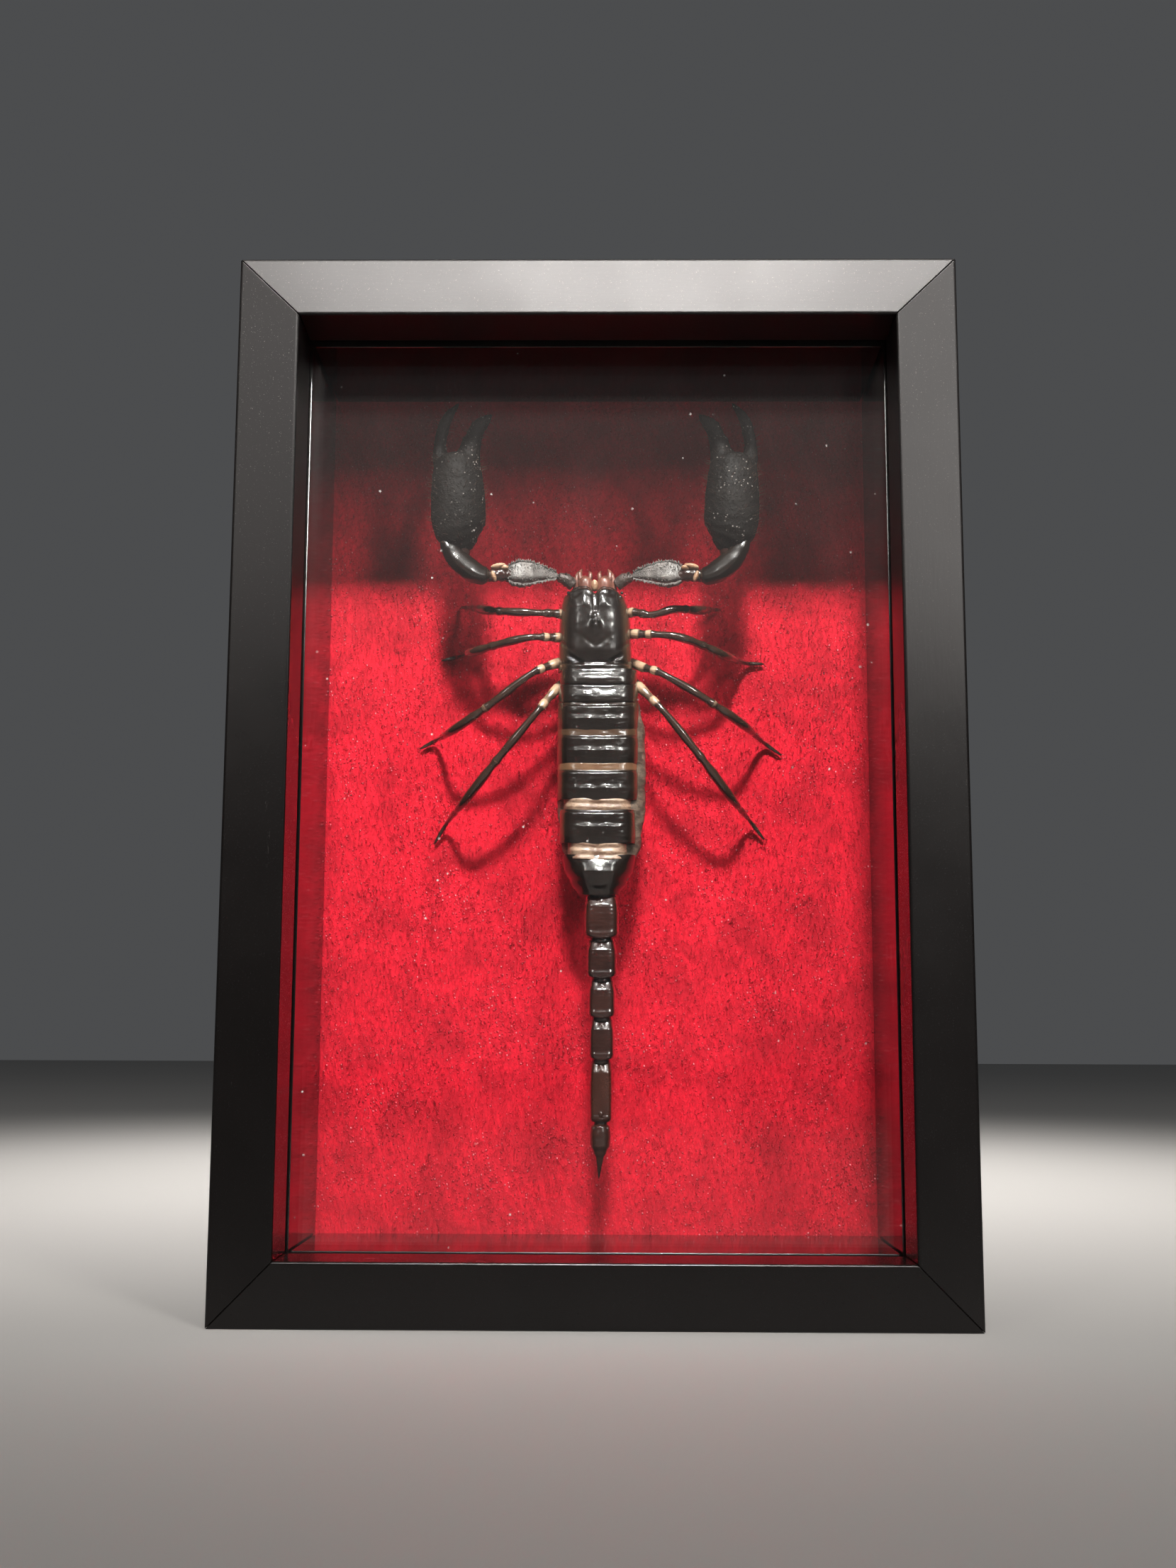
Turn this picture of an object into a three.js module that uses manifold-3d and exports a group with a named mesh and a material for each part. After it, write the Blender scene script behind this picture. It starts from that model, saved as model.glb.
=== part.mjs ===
// A dried scorpion fixed on red velvet in a deep black frame behind glass.
// Millimetres. X runs to the viewer's right, Y towards the wall, Z up.
// The origin is the middle of the underside, so the frame stands on z = 0.
import * as THREE from 'three';
import { mergeVertices } from 'three/addons/utils/BufferGeometryUtils.js';
import Module from 'manifold-3d';

const wasm = await Module();
wasm.setup();

// The frame
const frameWidth = 111;
const frameHeight = 161;
const frameDepth = 47;
const faceWidth = 9.6;
const faceSlope = 1.2;
const lipDepth = 10.5;
const lipRounding = 0.6;
const lipSteps = 3;
const railThickness = 5;
const fit = 0.3;
const mitreGap = 0.21;

// The layers behind the lip
const glassThickness = 2;
const clothDepth = 37.8;
const clothThickness = 0.8;
const boardThickness = 3;
const panelThickness = 2.5;

// The fittings on the back
const pointLength = 15;
const pointWidth = 8;
const pointThickness = 0.5;
const pointGrip = 2.2;
const hangerWidth = 45;
const hangerHeight = 8;
const hangerThickness = 0.8;
const hangerTeeth = 15;
const toothDepth = 1.6;
const hangerCorner = 2;
const hangerDrop = 17;
const rivetSpacing = 37;
const rivetRadius = 1.1;
const rivetHeadRadius = 2.3;
const rivetHeadHeight = 0.7;
const rivetShoulder = 0.75;
const rivetSides = 16;

const frontFace = -frameDepth / 2;
const openHalfWidth = frameWidth / 2 - faceWidth;
const openHalfHeight = frameHeight / 2 - faceWidth;
const rebateHalfWidth = frameWidth / 2 - railThickness - fit;
const rebateHalfHeight = frameHeight / 2 - railThickness - fit;
const middleHeight = frameHeight / 2;
const glassFront = frontFace + lipDepth + fit;
const wallFront = glassFront + glassThickness + fit;
const clothFace = frontFace + clothDepth;
const wallBack = clothFace - fit;
const boardFront = clothFace + clothThickness + fit;
const panelFront = boardFront + boardThickness + fit;
const panelBack = panelFront + panelThickness;

// The finishes
const blackLacquer = new THREE.MeshStandardMaterial({ color: 0x16130f, roughness: 0.35, metalness: 0 });
const clearGlass = new THREE.MeshStandardMaterial({
  color: 0xe8f0ee, roughness: 0.03, metalness: 0, transparent: true, opacity: 0.15,
});
const wallBlack = new THREE.MeshStandardMaterial({ color: 0x120d0c, roughness: 0.3, metalness: 0 });
const redVelvet = new THREE.MeshStandardMaterial({ color: 0xb5122a, roughness: 0.95, metalness: 0 });
const greyBoard = new THREE.MeshStandardMaterial({ color: 0xb9b1a2, roughness: 0.9, metalness: 0 });
const brownHardboard = new THREE.MeshStandardMaterial({ color: 0x6a4a30, roughness: 0.75, metalness: 0 });
const zincSteel = new THREE.MeshStandardMaterial({ color: 0x9b9da0, roughness: 0.35, metalness: 1 });
const brass = new THREE.MeshStandardMaterial({ color: 0xa88a4a, roughness: 0.35, metalness: 1 });
const blackShell = new THREE.MeshStandardMaterial({ color: 0x17100c, roughness: 0.2, metalness: 0 });
const clawShell = new THREE.MeshStandardMaterial({ color: 0x1d1613, roughness: 0.45, metalness: 0 });
const legShell = new THREE.MeshStandardMaterial({ color: 0x241712, roughness: 0.3, metalness: 0 });
const brownShell = new THREE.MeshStandardMaterial({ color: 0x4a2a1a, roughness: 0.3, metalness: 0 });

// Keeps the positions alone, with shared corners joined and flat triangles dropped
function welded(geometry) {
  const bare = geometry.index ? geometry.toNonIndexed() : geometry.clone();
  bare.deleteAttribute('normal');
  bare.deleteAttribute('uv');
  const merged = mergeVertices(bare, 1e-4);
  const corners = merged.index.array;
  const kept = [];
  for (let i = 0; i < corners.length; i += 3) {
    const [a, b, c] = [corners[i], corners[i + 1], corners[i + 2]];
    if (a !== b && b !== c && c !== a) kept.push(a, b, c);
  }
  merged.setIndex(kept);
  return merged;
}

function solidFrom(geometry) {
  const clean = welded(geometry);
  return new wasm.Manifold(new wasm.Mesh({
    numProp: 3,
    vertProperties: new Float32Array(clean.attributes.position.array),
    triVerts: new Uint32Array(clean.index.array),
  }));
}

function geometryFrom(solid) {
  const mesh = solid.getMesh();
  const geometry = new THREE.BufferGeometry();
  geometry.setAttribute('position', new THREE.BufferAttribute(mesh.vertProperties, 3));
  geometry.setIndex(new THREE.BufferAttribute(mesh.triVerts, 1));
  geometry.computeVertexNormals();
  return geometry;
}

function joined(...geometries) {
  return geometryFrom(geometries.map(solidFrom).reduce((sum, next) => sum.add(next)));
}

function cut(geometry, ...tools) {
  return geometryFrom(tools.map(solidFrom).reduce((rest, tool) => rest.subtract(tool), solidFrom(geometry)));
}

const group = new THREE.Group();

function place(name, geometry, material) {
  const mesh = new THREE.Mesh(geometry, material);
  mesh.name = name;
  group.add(mesh);
  return mesh;
}

function block(xLow, xHigh, yLow, yHigh, zLow, zHigh) {
  const box = new THREE.BoxGeometry(xHigh - xLow, yHigh - yLow, zHigh - zLow);
  return box.translate((xLow + xHigh) / 2, (yLow + yHigh) / 2, (zLow + zHigh) / 2);
}

// The moulding's section: first number inwards from the outer edge, second back from the lip's front
function railSection() {
  const section = new THREE.Shape();
  section.moveTo(0, frameDepth);
  section.lineTo(0, faceSlope + lipRounding);
  section.quadraticCurveTo(0, faceSlope, lipRounding, faceSlope);
  section.lineTo(faceWidth - lipRounding, 0);
  section.quadraticCurveTo(faceWidth, 0, faceWidth, lipRounding);
  section.lineTo(faceWidth, lipDepth);
  section.lineTo(railThickness, lipDepth);
  section.lineTo(railThickness, frameDepth);
  return section;
}

// One rail lying along X, its outer edge on z = 0, with both ends cut at 45 degrees
function mitredRail(length) {
  const rail = new THREE.ExtrudeGeometry(railSection(), {
    depth: 1, bevelEnabled: false, curveSegments: lipSteps,
  });
  const corners = rail.attributes.position;
  for (let i = 0; i < corners.count; i += 1) {
    const inwards = corners.getX(i);
    const back = corners.getY(i);
    const end = corners.getZ(i) > 0.5 ? -1 : 1;
    corners.setXYZ(i, end * (length / 2 - inwards - mitreGap), frontFace + back, inwards);
  }
  return rail;
}

// Framer's points: each grips a rail at a place along it, and lies on the back panel
const pointPlaces = [
  { rail: 'rail_top', along: -32 },
  { rail: 'rail_top', along: 32 },
  { rail: 'rail_bottom', along: -32 },
  { rail: 'rail_bottom', along: 32 },
  { rail: 'rail_left', along: 0 },
  { rail: 'rail_right', along: 0 },
];

function pointPlate(along) {
  const inner = railThickness + pointLength - pointGrip;
  const outline = new THREE.Shape();
  outline.moveTo(-pointWidth / 2, railThickness - pointGrip);
  outline.lineTo(pointWidth / 2, railThickness - pointGrip);
  outline.lineTo(pointWidth / 2, inner - pointWidth / 2);
  outline.lineTo(0, inner);
  outline.lineTo(-pointWidth / 2, inner - pointWidth / 2);
  const plate = new THREE.ExtrudeGeometry(outline, { depth: pointThickness, bevelEnabled: false });
  return plate.rotateX(Math.PI / 2).translate(along, panelBack + fit + pointThickness, 0);
}

function pointSlot(along) {
  const half = pointWidth / 2 + fit;
  const middle = panelBack + fit + pointThickness / 2;
  const reach = pointThickness / 2 + fit;
  return block(along - half, along + half, middle - reach, middle + reach,
    railThickness - pointGrip - fit, railThickness + 1);
}

// Each side of the frame: its length, and the turn and shift from lying at the bottom
const sides = {
  rail_bottom: { length: frameWidth, turn: 0, shift: [0, 0, 0] },
  rail_top: { length: frameWidth, turn: Math.PI, shift: [0, 0, frameHeight] },
  rail_left: { length: frameHeight, turn: Math.PI / 2, shift: [-frameWidth / 2, 0, middleHeight] },
  rail_right: { length: frameHeight, turn: -Math.PI / 2, shift: [frameWidth / 2, 0, middleHeight] },
};

function toSide(geometry, side) {
  return geometry.rotateY(side.turn).translate(...side.shift);
}

for (const [name, side] of Object.entries(sides)) {
  const slots = pointPlaces.filter((spot) => spot.rail === name).map((spot) => pointSlot(spot.along));
  place(name, toSide(cut(mitredRail(side.length), ...slots), side), blackLacquer);
}

pointPlaces.forEach((spot, i) => {
  place(`point_${i + 1}`, toSide(pointPlate(spot.along), sides[spot.rail]), zincSteel);
});

// Glass, spacer walls, cloth on its board, and the back
const lowRebate = middleHeight - rebateHalfHeight;
const highRebate = middleHeight + rebateHalfHeight;
const lowOpen = middleHeight - openHalfHeight;
const highOpen = middleHeight + openHalfHeight;

place('glass_pane', block(-rebateHalfWidth, rebateHalfWidth, glassFront, glassFront + glassThickness,
  lowRebate, highRebate), clearGlass);
place('wall_left', block(-rebateHalfWidth, -openHalfWidth, wallFront, wallBack, lowRebate, highRebate),
  wallBlack);
place('wall_right', block(openHalfWidth, rebateHalfWidth, wallFront, wallBack, lowRebate, highRebate),
  wallBlack);
place('wall_bottom', block(-openHalfWidth + fit, openHalfWidth - fit, wallFront, wallBack,
  lowRebate, lowOpen), wallBlack);
place('wall_top', block(-openHalfWidth + fit, openHalfWidth - fit, wallFront, wallBack,
  highOpen, highRebate), wallBlack);

function clothTray() {
  const sheet = block(-rebateHalfWidth, rebateHalfWidth, clothFace, boardFront + boardThickness,
    lowRebate, highRebate);
  const room = block(-rebateHalfWidth + clothThickness, rebateHalfWidth - clothThickness,
    clothFace + clothThickness, boardFront + boardThickness + 1,
    lowRebate + clothThickness, highRebate - clothThickness);
  return cut(sheet, room);
}

place('velvet_cloth', clothTray(), redVelvet);
const tuck = clothThickness + fit;
place('backing_board', block(-rebateHalfWidth + tuck, rebateHalfWidth - tuck,
  boardFront, boardFront + boardThickness, lowRebate + tuck, highRebate - tuck), greyBoard);

const rivetHeight = frameHeight - hangerDrop;
const rivetPlaces = { left: -rivetSpacing / 2, right: rivetSpacing / 2 };
const rivetHoles = Object.values(rivetPlaces).map((x) => {
  const hole = new THREE.CylinderGeometry(rivetRadius + fit, rivetRadius + fit, frameDepth, rivetSides);
  return hole.translate(x, 0, rivetHeight);
});

place('back_panel', cut(block(-rebateHalfWidth, rebateHalfWidth, panelFront, panelBack,
  lowRebate, highRebate), ...rivetHoles), brownHardboard);

// The sawtooth hanger, its teeth along the lower edge
function hangerPlate() {
  const half = hangerWidth / 2;
  const top = rivetHeight + hangerHeight / 2;
  const low = rivetHeight - hangerHeight / 2;
  const toothRun = rivetSpacing - 4 * rivetHeadRadius;
  const toothStep = toothRun / hangerTeeth;
  const outline = new THREE.Shape();
  outline.moveTo(-half, top - hangerCorner);
  outline.lineTo(-half, low + hangerCorner);
  outline.lineTo(-half + hangerCorner, low);
  outline.lineTo(-toothRun / 2, low);
  for (let i = 0; i < hangerTeeth; i += 1) {
    const start = -toothRun / 2 + i * toothStep;
    outline.lineTo(start + toothStep / 2, low + toothDepth);
    outline.lineTo(start + toothStep, low);
  }
  outline.lineTo(half - hangerCorner, low);
  outline.lineTo(half, low + hangerCorner);
  outline.lineTo(half, top - hangerCorner);
  outline.lineTo(half - hangerCorner, top);
  outline.lineTo(-half + hangerCorner, top);
  const plate = new THREE.ExtrudeGeometry(outline, { depth: hangerThickness, bevelEnabled: false });
  plate.rotateX(Math.PI / 2).translate(0, panelBack + fit + hangerThickness, 0);
  return cut(plate, ...rivetHoles);
}

// A rivet: its shank through the panel, its low domed head on the plate
function rivet(x) {
  const headBack = panelBack + hangerThickness + 2 * fit;
  const profile = [[0, 0], [rivetRadius, 0]];
  const shank = headBack - panelFront;
  profile.push([rivetRadius, shank], [rivetHeadRadius, shank]);
  profile.push([rivetHeadRadius * rivetShoulder, shank + rivetHeadHeight * rivetShoulder]);
  profile.push([0, shank + rivetHeadHeight]);
  const lathe = new THREE.LatheGeometry(profile.map(([r, along]) => new THREE.Vector2(r, along)), rivetSides);
  return lathe.translate(x, panelFront, rivetHeight);
}

place('hanger_plate', hangerPlate(), brass);
place('hanger_rivet_left', rivet(rivetPlaces.left), brass);
place('hanger_rivet_right', rivet(rivetPlaces.right), brass);

// The specimen. Its places are given as [x, z, height above the cloth].
const towardsViewer = new THREE.Vector3(0, -1, 0);

const limbSides = 8;
const bodySides = 20;
const palmSides = 14;
const tailSides = 10;
const legSides = 7;

function spot([x, z, height]) {
  return new THREE.Vector3(x, clothFace - height, z);
}

// A limb: a round profile of [share of the length, radius] turned on a lathe, then bent along a route.
// wide and thick scale the radius across the route, in the cloth's plane and away from the cloth.
function limb(route, profile, { wide = 1, thick = 1, ringSides = limbSides } = {}) {
  const places = route.map(spot);
  const curve = places.length > 2
    ? new THREE.CatmullRomCurve3(places, false, 'centripetal')
    : new THREE.LineCurve3(...places);
  const rings = [[0, 0], ...profile.map(([share, radius]) => [radius, share]), [0, 1]];
  const lathe = new THREE.LatheGeometry(rings.map(([r, share]) => new THREE.Vector2(r, share)), ringSides);
  const corners = lathe.attributes.position;
  for (let i = 0; i < corners.count; i += 1) {
    const share = THREE.MathUtils.clamp(corners.getY(i), 0, 1);
    const along = curve.getTangentAt(share);
    const outwards = towardsViewer.clone().addScaledVector(along, -towardsViewer.dot(along)).normalize();
    const sideways = new THREE.Vector3().crossVectors(along, outwards);
    const moved = curve.getPointAt(share)
      .addScaledVector(sideways, corners.getX(i) * wide)
      .addScaledVector(outwards, corners.getZ(i) * thick);
    corners.setXYZ(i, moved.x, moved.y, moved.z);
  }
  return welded(lathe);
}

// The body's middle stands this far from the cloth, and its front end lies a little left of the middle
const bodyHeight = 13.5;
const headMiddle = -0.4;

// The head shield: narrower in front, a notch in the middle of the front edge, a low eye mound
const shieldRear = 101.6;
const shieldFront = 114.1;
const shieldFlatness = 0.74;
const eyes = { x: -0.15, z: 107.3, radius: 1.1, rise: 4.1, stretch: [0.8, 0.7, 1.3], facets: [10, 6] };
const notch = { radius: 0.9, depth: 0.6, length: 12, sides: 12 };

function headShield() {
  const shield = limb([[headMiddle, shieldRear, bodyHeight], [headMiddle, shieldFront, bodyHeight]],
    [[0, 4.8], [0.04, 5.6], [0.12, 5.9], [0.48, 5.8], [0.68, 5.6], [0.87, 5.2], [0.97, 4.7], [1, 3.6]],
    { thick: shieldFlatness, ringSides: bodySides });
  const mound = new THREE.SphereGeometry(eyes.radius, ...eyes.facets).scale(...eyes.stretch)
    .translate(eyes.x, clothFace - bodyHeight - eyes.rise, eyes.z);
  const gap = new THREE.CylinderGeometry(notch.radius, notch.radius, notch.length, notch.sides)
    .translate(headMiddle, clothFace - bodyHeight, shieldFront + notch.radius - notch.depth);
  return cut(joined(shield, mound), gap);
}

place('carapace', headShield(), blackShell);

// The trunk: seven plates behind a narrow band, with gaps of skin before the last two, and a loose fold of
// skin along the sides. [front, rear, half width]
const trunkPlates = [
  [101.2, 100.2, 6.1],
  [99.9, 97.7, 6.35],
  [97.4, 94.8, 6.5],
  [94.5, 90.2, 6.6],
  [89.9, 84.8, 6.65],
  [84.4, 79.1, 6.6],
  [76.8, 72.0, 6.2],
  [69.9, 65.2, 5.7],
];
const frontMiddle = 0.2;
const rearMiddle = 0.5;
const trunkWaist = 84;
const trunkRear = 64.4;
const trunkRearRadius = 2.6;
const trunkFlatness = 0.68;
const trunkRearLift = 0.3;
const plateEdge = 0.4;
const plateTaper = 1.2;
const sideSkin = { front: 97, rear: 67, middle: 0.75, drop: 0.9, flatness: 0.5 };
const sideSkinProfile = [[0, 4.4], [0.15, 6.6], [0.3, 6.95], [0.75, 6.75], [1, 3.8]];

function trunk() {
  const front = trunkPlates[0][0];
  const share = (z) => (front - z) / (front - trunkRear);
  const profile = trunkPlates.flatMap(([high, low, half], i) => {
    const rearHalf = i === trunkPlates.length - 1 ? half - plateTaper : half;
    return [
      [share(high), half - plateEdge],
      [share(high - plateEdge), half],
      [share(low + plateEdge), rearHalf],
      [share(low), rearHalf - plateEdge],
    ];
  });
  profile.push([1, trunkRearRadius]);
  const back = [[frontMiddle, front, bodyHeight], [frontMiddle, trunkWaist, bodyHeight],
    [rearMiddle, trunkRear, bodyHeight + trunkRearLift]];
  const plates = limb(back, profile, { thick: trunkFlatness, ringSides: bodySides });
  const skinHeight = bodyHeight - sideSkin.drop;
  const fold = [[sideSkin.middle, sideSkin.front, skinHeight], [sideSkin.middle, sideSkin.rear, skinHeight]];
  const skin = limb(fold, sideSkinProfile, { thick: sideSkin.flatness, ringSides: bodySides });
  return joined(plates, skin);
}

place('abdomen', trunk(), blackShell);

// The tail: five segments, each wider behind than in front, then the bulb and its sting.
// [front, rear, half width in front, half width behind, middle]
const tailHeight = 13.5;
const tailFlatness = 0.94;
const tailSegments = [
  [64.0, 57.2, 2.35, 2.7, 0.8],
  [56.9, 50.9, 2.2, 2.4, 0.85],
  [50.6, 44.7, 1.95, 2.1, 0.9],
  [44.4, 38.0, 1.8, 1.95, 0.9],
  [37.7, 28.2, 1.65, 1.75, 0.8],
];
const lastSegment = tailSegments.length - 1;

tailSegments.forEach(([front, rear, near, far, middle], i) => {
  const segment = limb([[middle, front, tailHeight], [middle, rear, tailHeight]],
    [[0, near * 0.6], [0.05, near * 0.85], [0.14, near], [0.5, near * 0.96], [0.86, far], [0.95, far * 0.93],
      [1, far * 0.72]],
    { thick: tailFlatness, ringSides: tailSides });
  place(`tail_segment_${i + 1}`, segment, i < lastSegment ? blackShell : brownShell);
});

const stingRoute = [[0.75, 27.9, tailHeight], [0.7, 24.6, tailHeight + 0.1], [0.62, 22.2, tailHeight - 0.2],
  [0.55, 20.6, tailHeight - 0.9], [0.5, 19.3, tailHeight - 2]];
const stingProfile = [[0, 0.9], [0.06, 1.3], [0.2, 1.6], [0.36, 1.5], [0.48, 1.0], [0.6, 0.55], [0.78, 0.32],
  [1, 0.1]];

place('stinger', limb(stingRoute, stingProfile, { ringSides: tailSides }), brownShell);

// The jaws, arms and claws, alike on both sides of the head's middle: each joint's route and profile.
// The moving finger stands on the palm's end, beside the finger that is one piece with the palm.
const palmFlatness = 0.72;
const fingerFlatness = 0.95;
const limbs = {
  chelicera: {
    route: [[1.5, 114.4, 14.4], [1.9, 117.4, 14]],
    profile: [[0, 1.0], [0.3, 1.35], [0.6, 1.15], [1, 0.4]],
  },
  arm_hip: {
    route: [[3.7, 114.8, 13.9], [4.7, 115.5, 14.3], [5.6, 115.9, 14.8]],
    profile: [[0, 0.7], [0.3, 1.15], [0.7, 1.05], [1, 0.55]],
  },
  arm_femur: {
    route: [[6, 116, 15.2], [10, 115.9, 16.6], [14.5, 115.4, 18]],
    profile: [[0, 0.6], [0.15, 0.9], [0.35, 1.4], [0.55, 1.85], [0.8, 2.15], [0.94, 1.95], [1, 1.3]],
  },
  arm_patella: {
    route: [[14.9, 115.3, 18.1], [17.2, 114.9, 18.4], [19.1, 115.3, 18.9], [21.1, 116.6, 19],
      [22.8, 118.5, 18.8], [23.1, 119.2, 18.8]],
    profile: [[0, 0.9], [0.12, 1.25], [0.24, 1.2], [0.42, 1.9], [0.7, 2.05], [0.92, 1.7], [1, 1.2]],
  },
  palm: {
    route: [[21.6, 120.4, 19.5], [22, 122.6, 19.6], [22.3, 128, 19.8], [22.6, 135.2, 19.5]],
    profile: [[0, 1.3], [0.06, 2.4], [0.14, 3.5], [0.24, 4.15], [0.38, 4.45], [0.58, 4.4], [0.78, 4.1],
      [0.93, 3.75], [1, 3.2]],
    shape: { thick: palmFlatness, ringSides: palmSides },
  },
  fixed_finger: {
    route: [[20.9, 131.5, 19.5], [20.4, 136, 19.5], [19.4, 139, 19.3], [16.8, 142.2, 19]],
    profile: [[0, 1.9], [0.3, 1.85], [0.5, 1.45], [0.8, 1.1], [0.93, 0.65], [1, 0.15]],
    shape: { thick: fingerFlatness },
  },
  claw_finger: {
    route: [[25.2, 135.6, 19.4], [25.3, 137.2, 19.4], [25, 139.4, 19.3], [23.9, 142.2, 19.1],
      [22.2, 144.4, 18.9]],
    profile: [[0, 0.9], [0.1, 1.15], [0.4, 1.0], [0.7, 0.75], [0.93, 0.4], [1, 0.12]],
    shape: { thick: fingerFlatness },
  },
};

function sideLimb(part, side) {
  const { route, profile, shape } = limbs[part];
  return limb(route.map(([x, z, height]) => [headMiddle + side * x, z, height]), profile, shape);
}

for (const [name, side] of [['left', -1], ['right', 1]]) {
  place(`chelicera_${name}`, sideLimb('chelicera', side), brownShell);
  for (const part of ['arm_hip', 'arm_femur', 'arm_patella', 'claw_finger']) {
    place(`${part}_${name}`, sideLimb(part, side), clawShell);
  }
  place(`claw_${name}`, joined(sideLimb('palm', side), sideLimb('fixed_finger', side)), clawShell);
}

// The legs: from the hip up over the knee and down to the foot on the cloth
const hipHeight = 13;
const footHeight = 0.45;
const ankleHeight = 1.2;
const kneeHeight = 10.5;
const legFlatness = { wide: 0.92, thick: 1.08 };
const legRoutes = {
  leg_left_1: [[-6.4, 110.2, hipHeight], [-11.3, 110, 15], [-16.6, 110.6, 13.5], [-19, 111.6, kneeHeight],
    [-21.6, 113.5, 4], [-23.5, 114.5, footHeight]],
  leg_left_2: [[-6.6, 106.2, hipHeight], [-11.2, 105.8, 15], [-17, 104.9, 13], [-20.6, 104.5, 10],
    [-23.9, 105.6, ankleHeight], [-26.8, 105.1, footHeight]],
  leg_left_3: [[-7, 101.8, hipHeight], [-10.7, 99.8, 15], [-16.8, 95.2, 14.5], [-23.6, 91.3, kneeHeight],
    [-27.5, 91.1, ankleHeight], [-30.2, 89.8, footHeight]],
  leg_left_4: [[-7.7, 96.6, hipHeight], [-10.2, 92.9, 15], [-16.7, 85.1, 14], [-21.7, 79.5, 10],
    [-25.3, 76.8, 2], [-27.5, 73.5, footHeight]],
  leg_right_1: [[5.6, 110.5, hipHeight], [8.6, 109.9, 14], [12.5, 110.8, 14], [16.7, 111.5, kneeHeight],
    [19.2, 113.2, 4], [21, 114.1, footHeight]],
  leg_right_2: [[5.9, 106.9, hipHeight], [12.4, 106.1, 15], [17, 105.1, 13], [20.9, 104, 10],
    [25.2, 104.6, ankleHeight], [28.4, 104.6, footHeight]],
  leg_right_3: [[7, 101.5, hipHeight], [10.2, 100, 15], [16.9, 96.2, 14.5], [23.6, 92.5, kneeHeight],
    [28.2, 90.8, ankleHeight], [31.2, 88.8, footHeight]],
  leg_right_4: [[7.8, 97.1, hipHeight], [11.1, 93.3, 15], [17.4, 85.5, 14], [22, 80.1, 10],
    [25.6, 77.4, 2], [28.1, 74.4, footHeight]],
};
const legProfile = [[0, 0.95], [0.04, 1.0], [0.07, 0.75], [0.1, 0.86], [0.15, 0.6], [0.4, 0.58], [0.43, 0.7],
  [0.46, 0.55], [0.52, 0.75], [0.62, 0.75], [0.72, 0.58], [0.78, 0.5], [0.9, 0.34], [1, 0.14]];

for (const [name, route] of Object.entries(legRoutes)) {
  place(name, limb(route, legProfile, { ...legFlatness, ringSides: legSides }), legShell);
}

export default group;
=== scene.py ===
"""A dried black scorpion on red velvet, in a deep black frame behind glass."""
import math
import random

import bmesh
import bpy
from bpy.props import FloatProperty, FloatVectorProperty, IntProperty, PointerProperty
from mathutils import Matrix, Vector, noise
from mathutils.geometry import interpolate_bezier


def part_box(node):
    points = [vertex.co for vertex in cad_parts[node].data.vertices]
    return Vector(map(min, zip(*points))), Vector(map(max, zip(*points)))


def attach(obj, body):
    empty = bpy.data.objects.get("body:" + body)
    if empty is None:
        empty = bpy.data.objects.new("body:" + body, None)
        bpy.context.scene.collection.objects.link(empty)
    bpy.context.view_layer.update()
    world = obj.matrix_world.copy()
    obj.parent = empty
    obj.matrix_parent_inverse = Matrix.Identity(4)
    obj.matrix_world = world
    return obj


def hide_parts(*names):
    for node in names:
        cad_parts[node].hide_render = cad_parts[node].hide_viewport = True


bl_info = {
    "name": "Framed Scorpion Specimen",
    "version": (1, 0, 0),
    "blender": (4, 5, 0),
    "location": "View3D > Sidebar > Specimen",
    "description": "Builds a dried scorpion on red velvet in a deep black frame",
    "category": "Object",
}

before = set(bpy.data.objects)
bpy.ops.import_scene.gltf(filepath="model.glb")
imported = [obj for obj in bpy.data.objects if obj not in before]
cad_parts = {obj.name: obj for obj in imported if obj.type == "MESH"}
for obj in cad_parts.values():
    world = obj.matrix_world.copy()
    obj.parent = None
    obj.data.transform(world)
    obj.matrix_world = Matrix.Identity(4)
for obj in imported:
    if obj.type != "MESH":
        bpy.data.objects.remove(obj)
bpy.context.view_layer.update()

MM = 0.001
BODY = "root"
rail_low, rail_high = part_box("rail_left")
glass_low, glass_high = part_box("glass_pane")
cloth_low, cloth_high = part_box("velvet_cloth")

FRONT = rail_low.y
BACK = rail_high.y
FACE_WIDTH = rail_high.x - rail_low.x
HALF_WIDTH = -rail_low.x
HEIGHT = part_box("rail_top")[1].z
CLOTH_FACE = cloth_low.y
# The gap kept between pieces that touch
GAP = 0.3 * MM
LIP_DEPTH = glass_low.y - FRONT - GAP
SIDES = (("left", -1), ("right", 1))


# Sizes and colours that a user would change

def length_of(name, default, description):
    """A length that a user can change"""
    return FloatProperty(name=name, default=default, unit="LENGTH", description=description)


def tint_of(name, default, description):
    """A colour that a user can change"""
    return FloatVectorProperty(name=name, default=default, size=3, subtype="COLOR", description=description)


class FrameSizes(bpy.types.PropertyGroup):
    """The look of the moulding and the cloth"""
    face_slope: length_of("Face slope", 1.2 * MM, "How far the face's outer edge lies behind its inner edge")
    edge_round: length_of("Edge rounding", 0.45 * MM, "Radius of the moulding's long edges")
    mitre_gap: length_of("Mitre gap", 0.05 * MM, "Half the hairline between two mitred rails")
    lacquer: tint_of("Lacquer", (0.0020, 0.0016, 0.0015), "Colour of the black lacquer")
    velvet: tint_of("Velvet", (0.60, 0.007, 0.024), "Colour of the pile")
    pile_length: length_of("Pile length", 0.55 * MM, "Length of the velvet's fibres")
    pile_density: FloatProperty(name="Pile density", default=4.6e6, min=1.0,
                                description="Fibres on a square metre of cloth")


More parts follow.
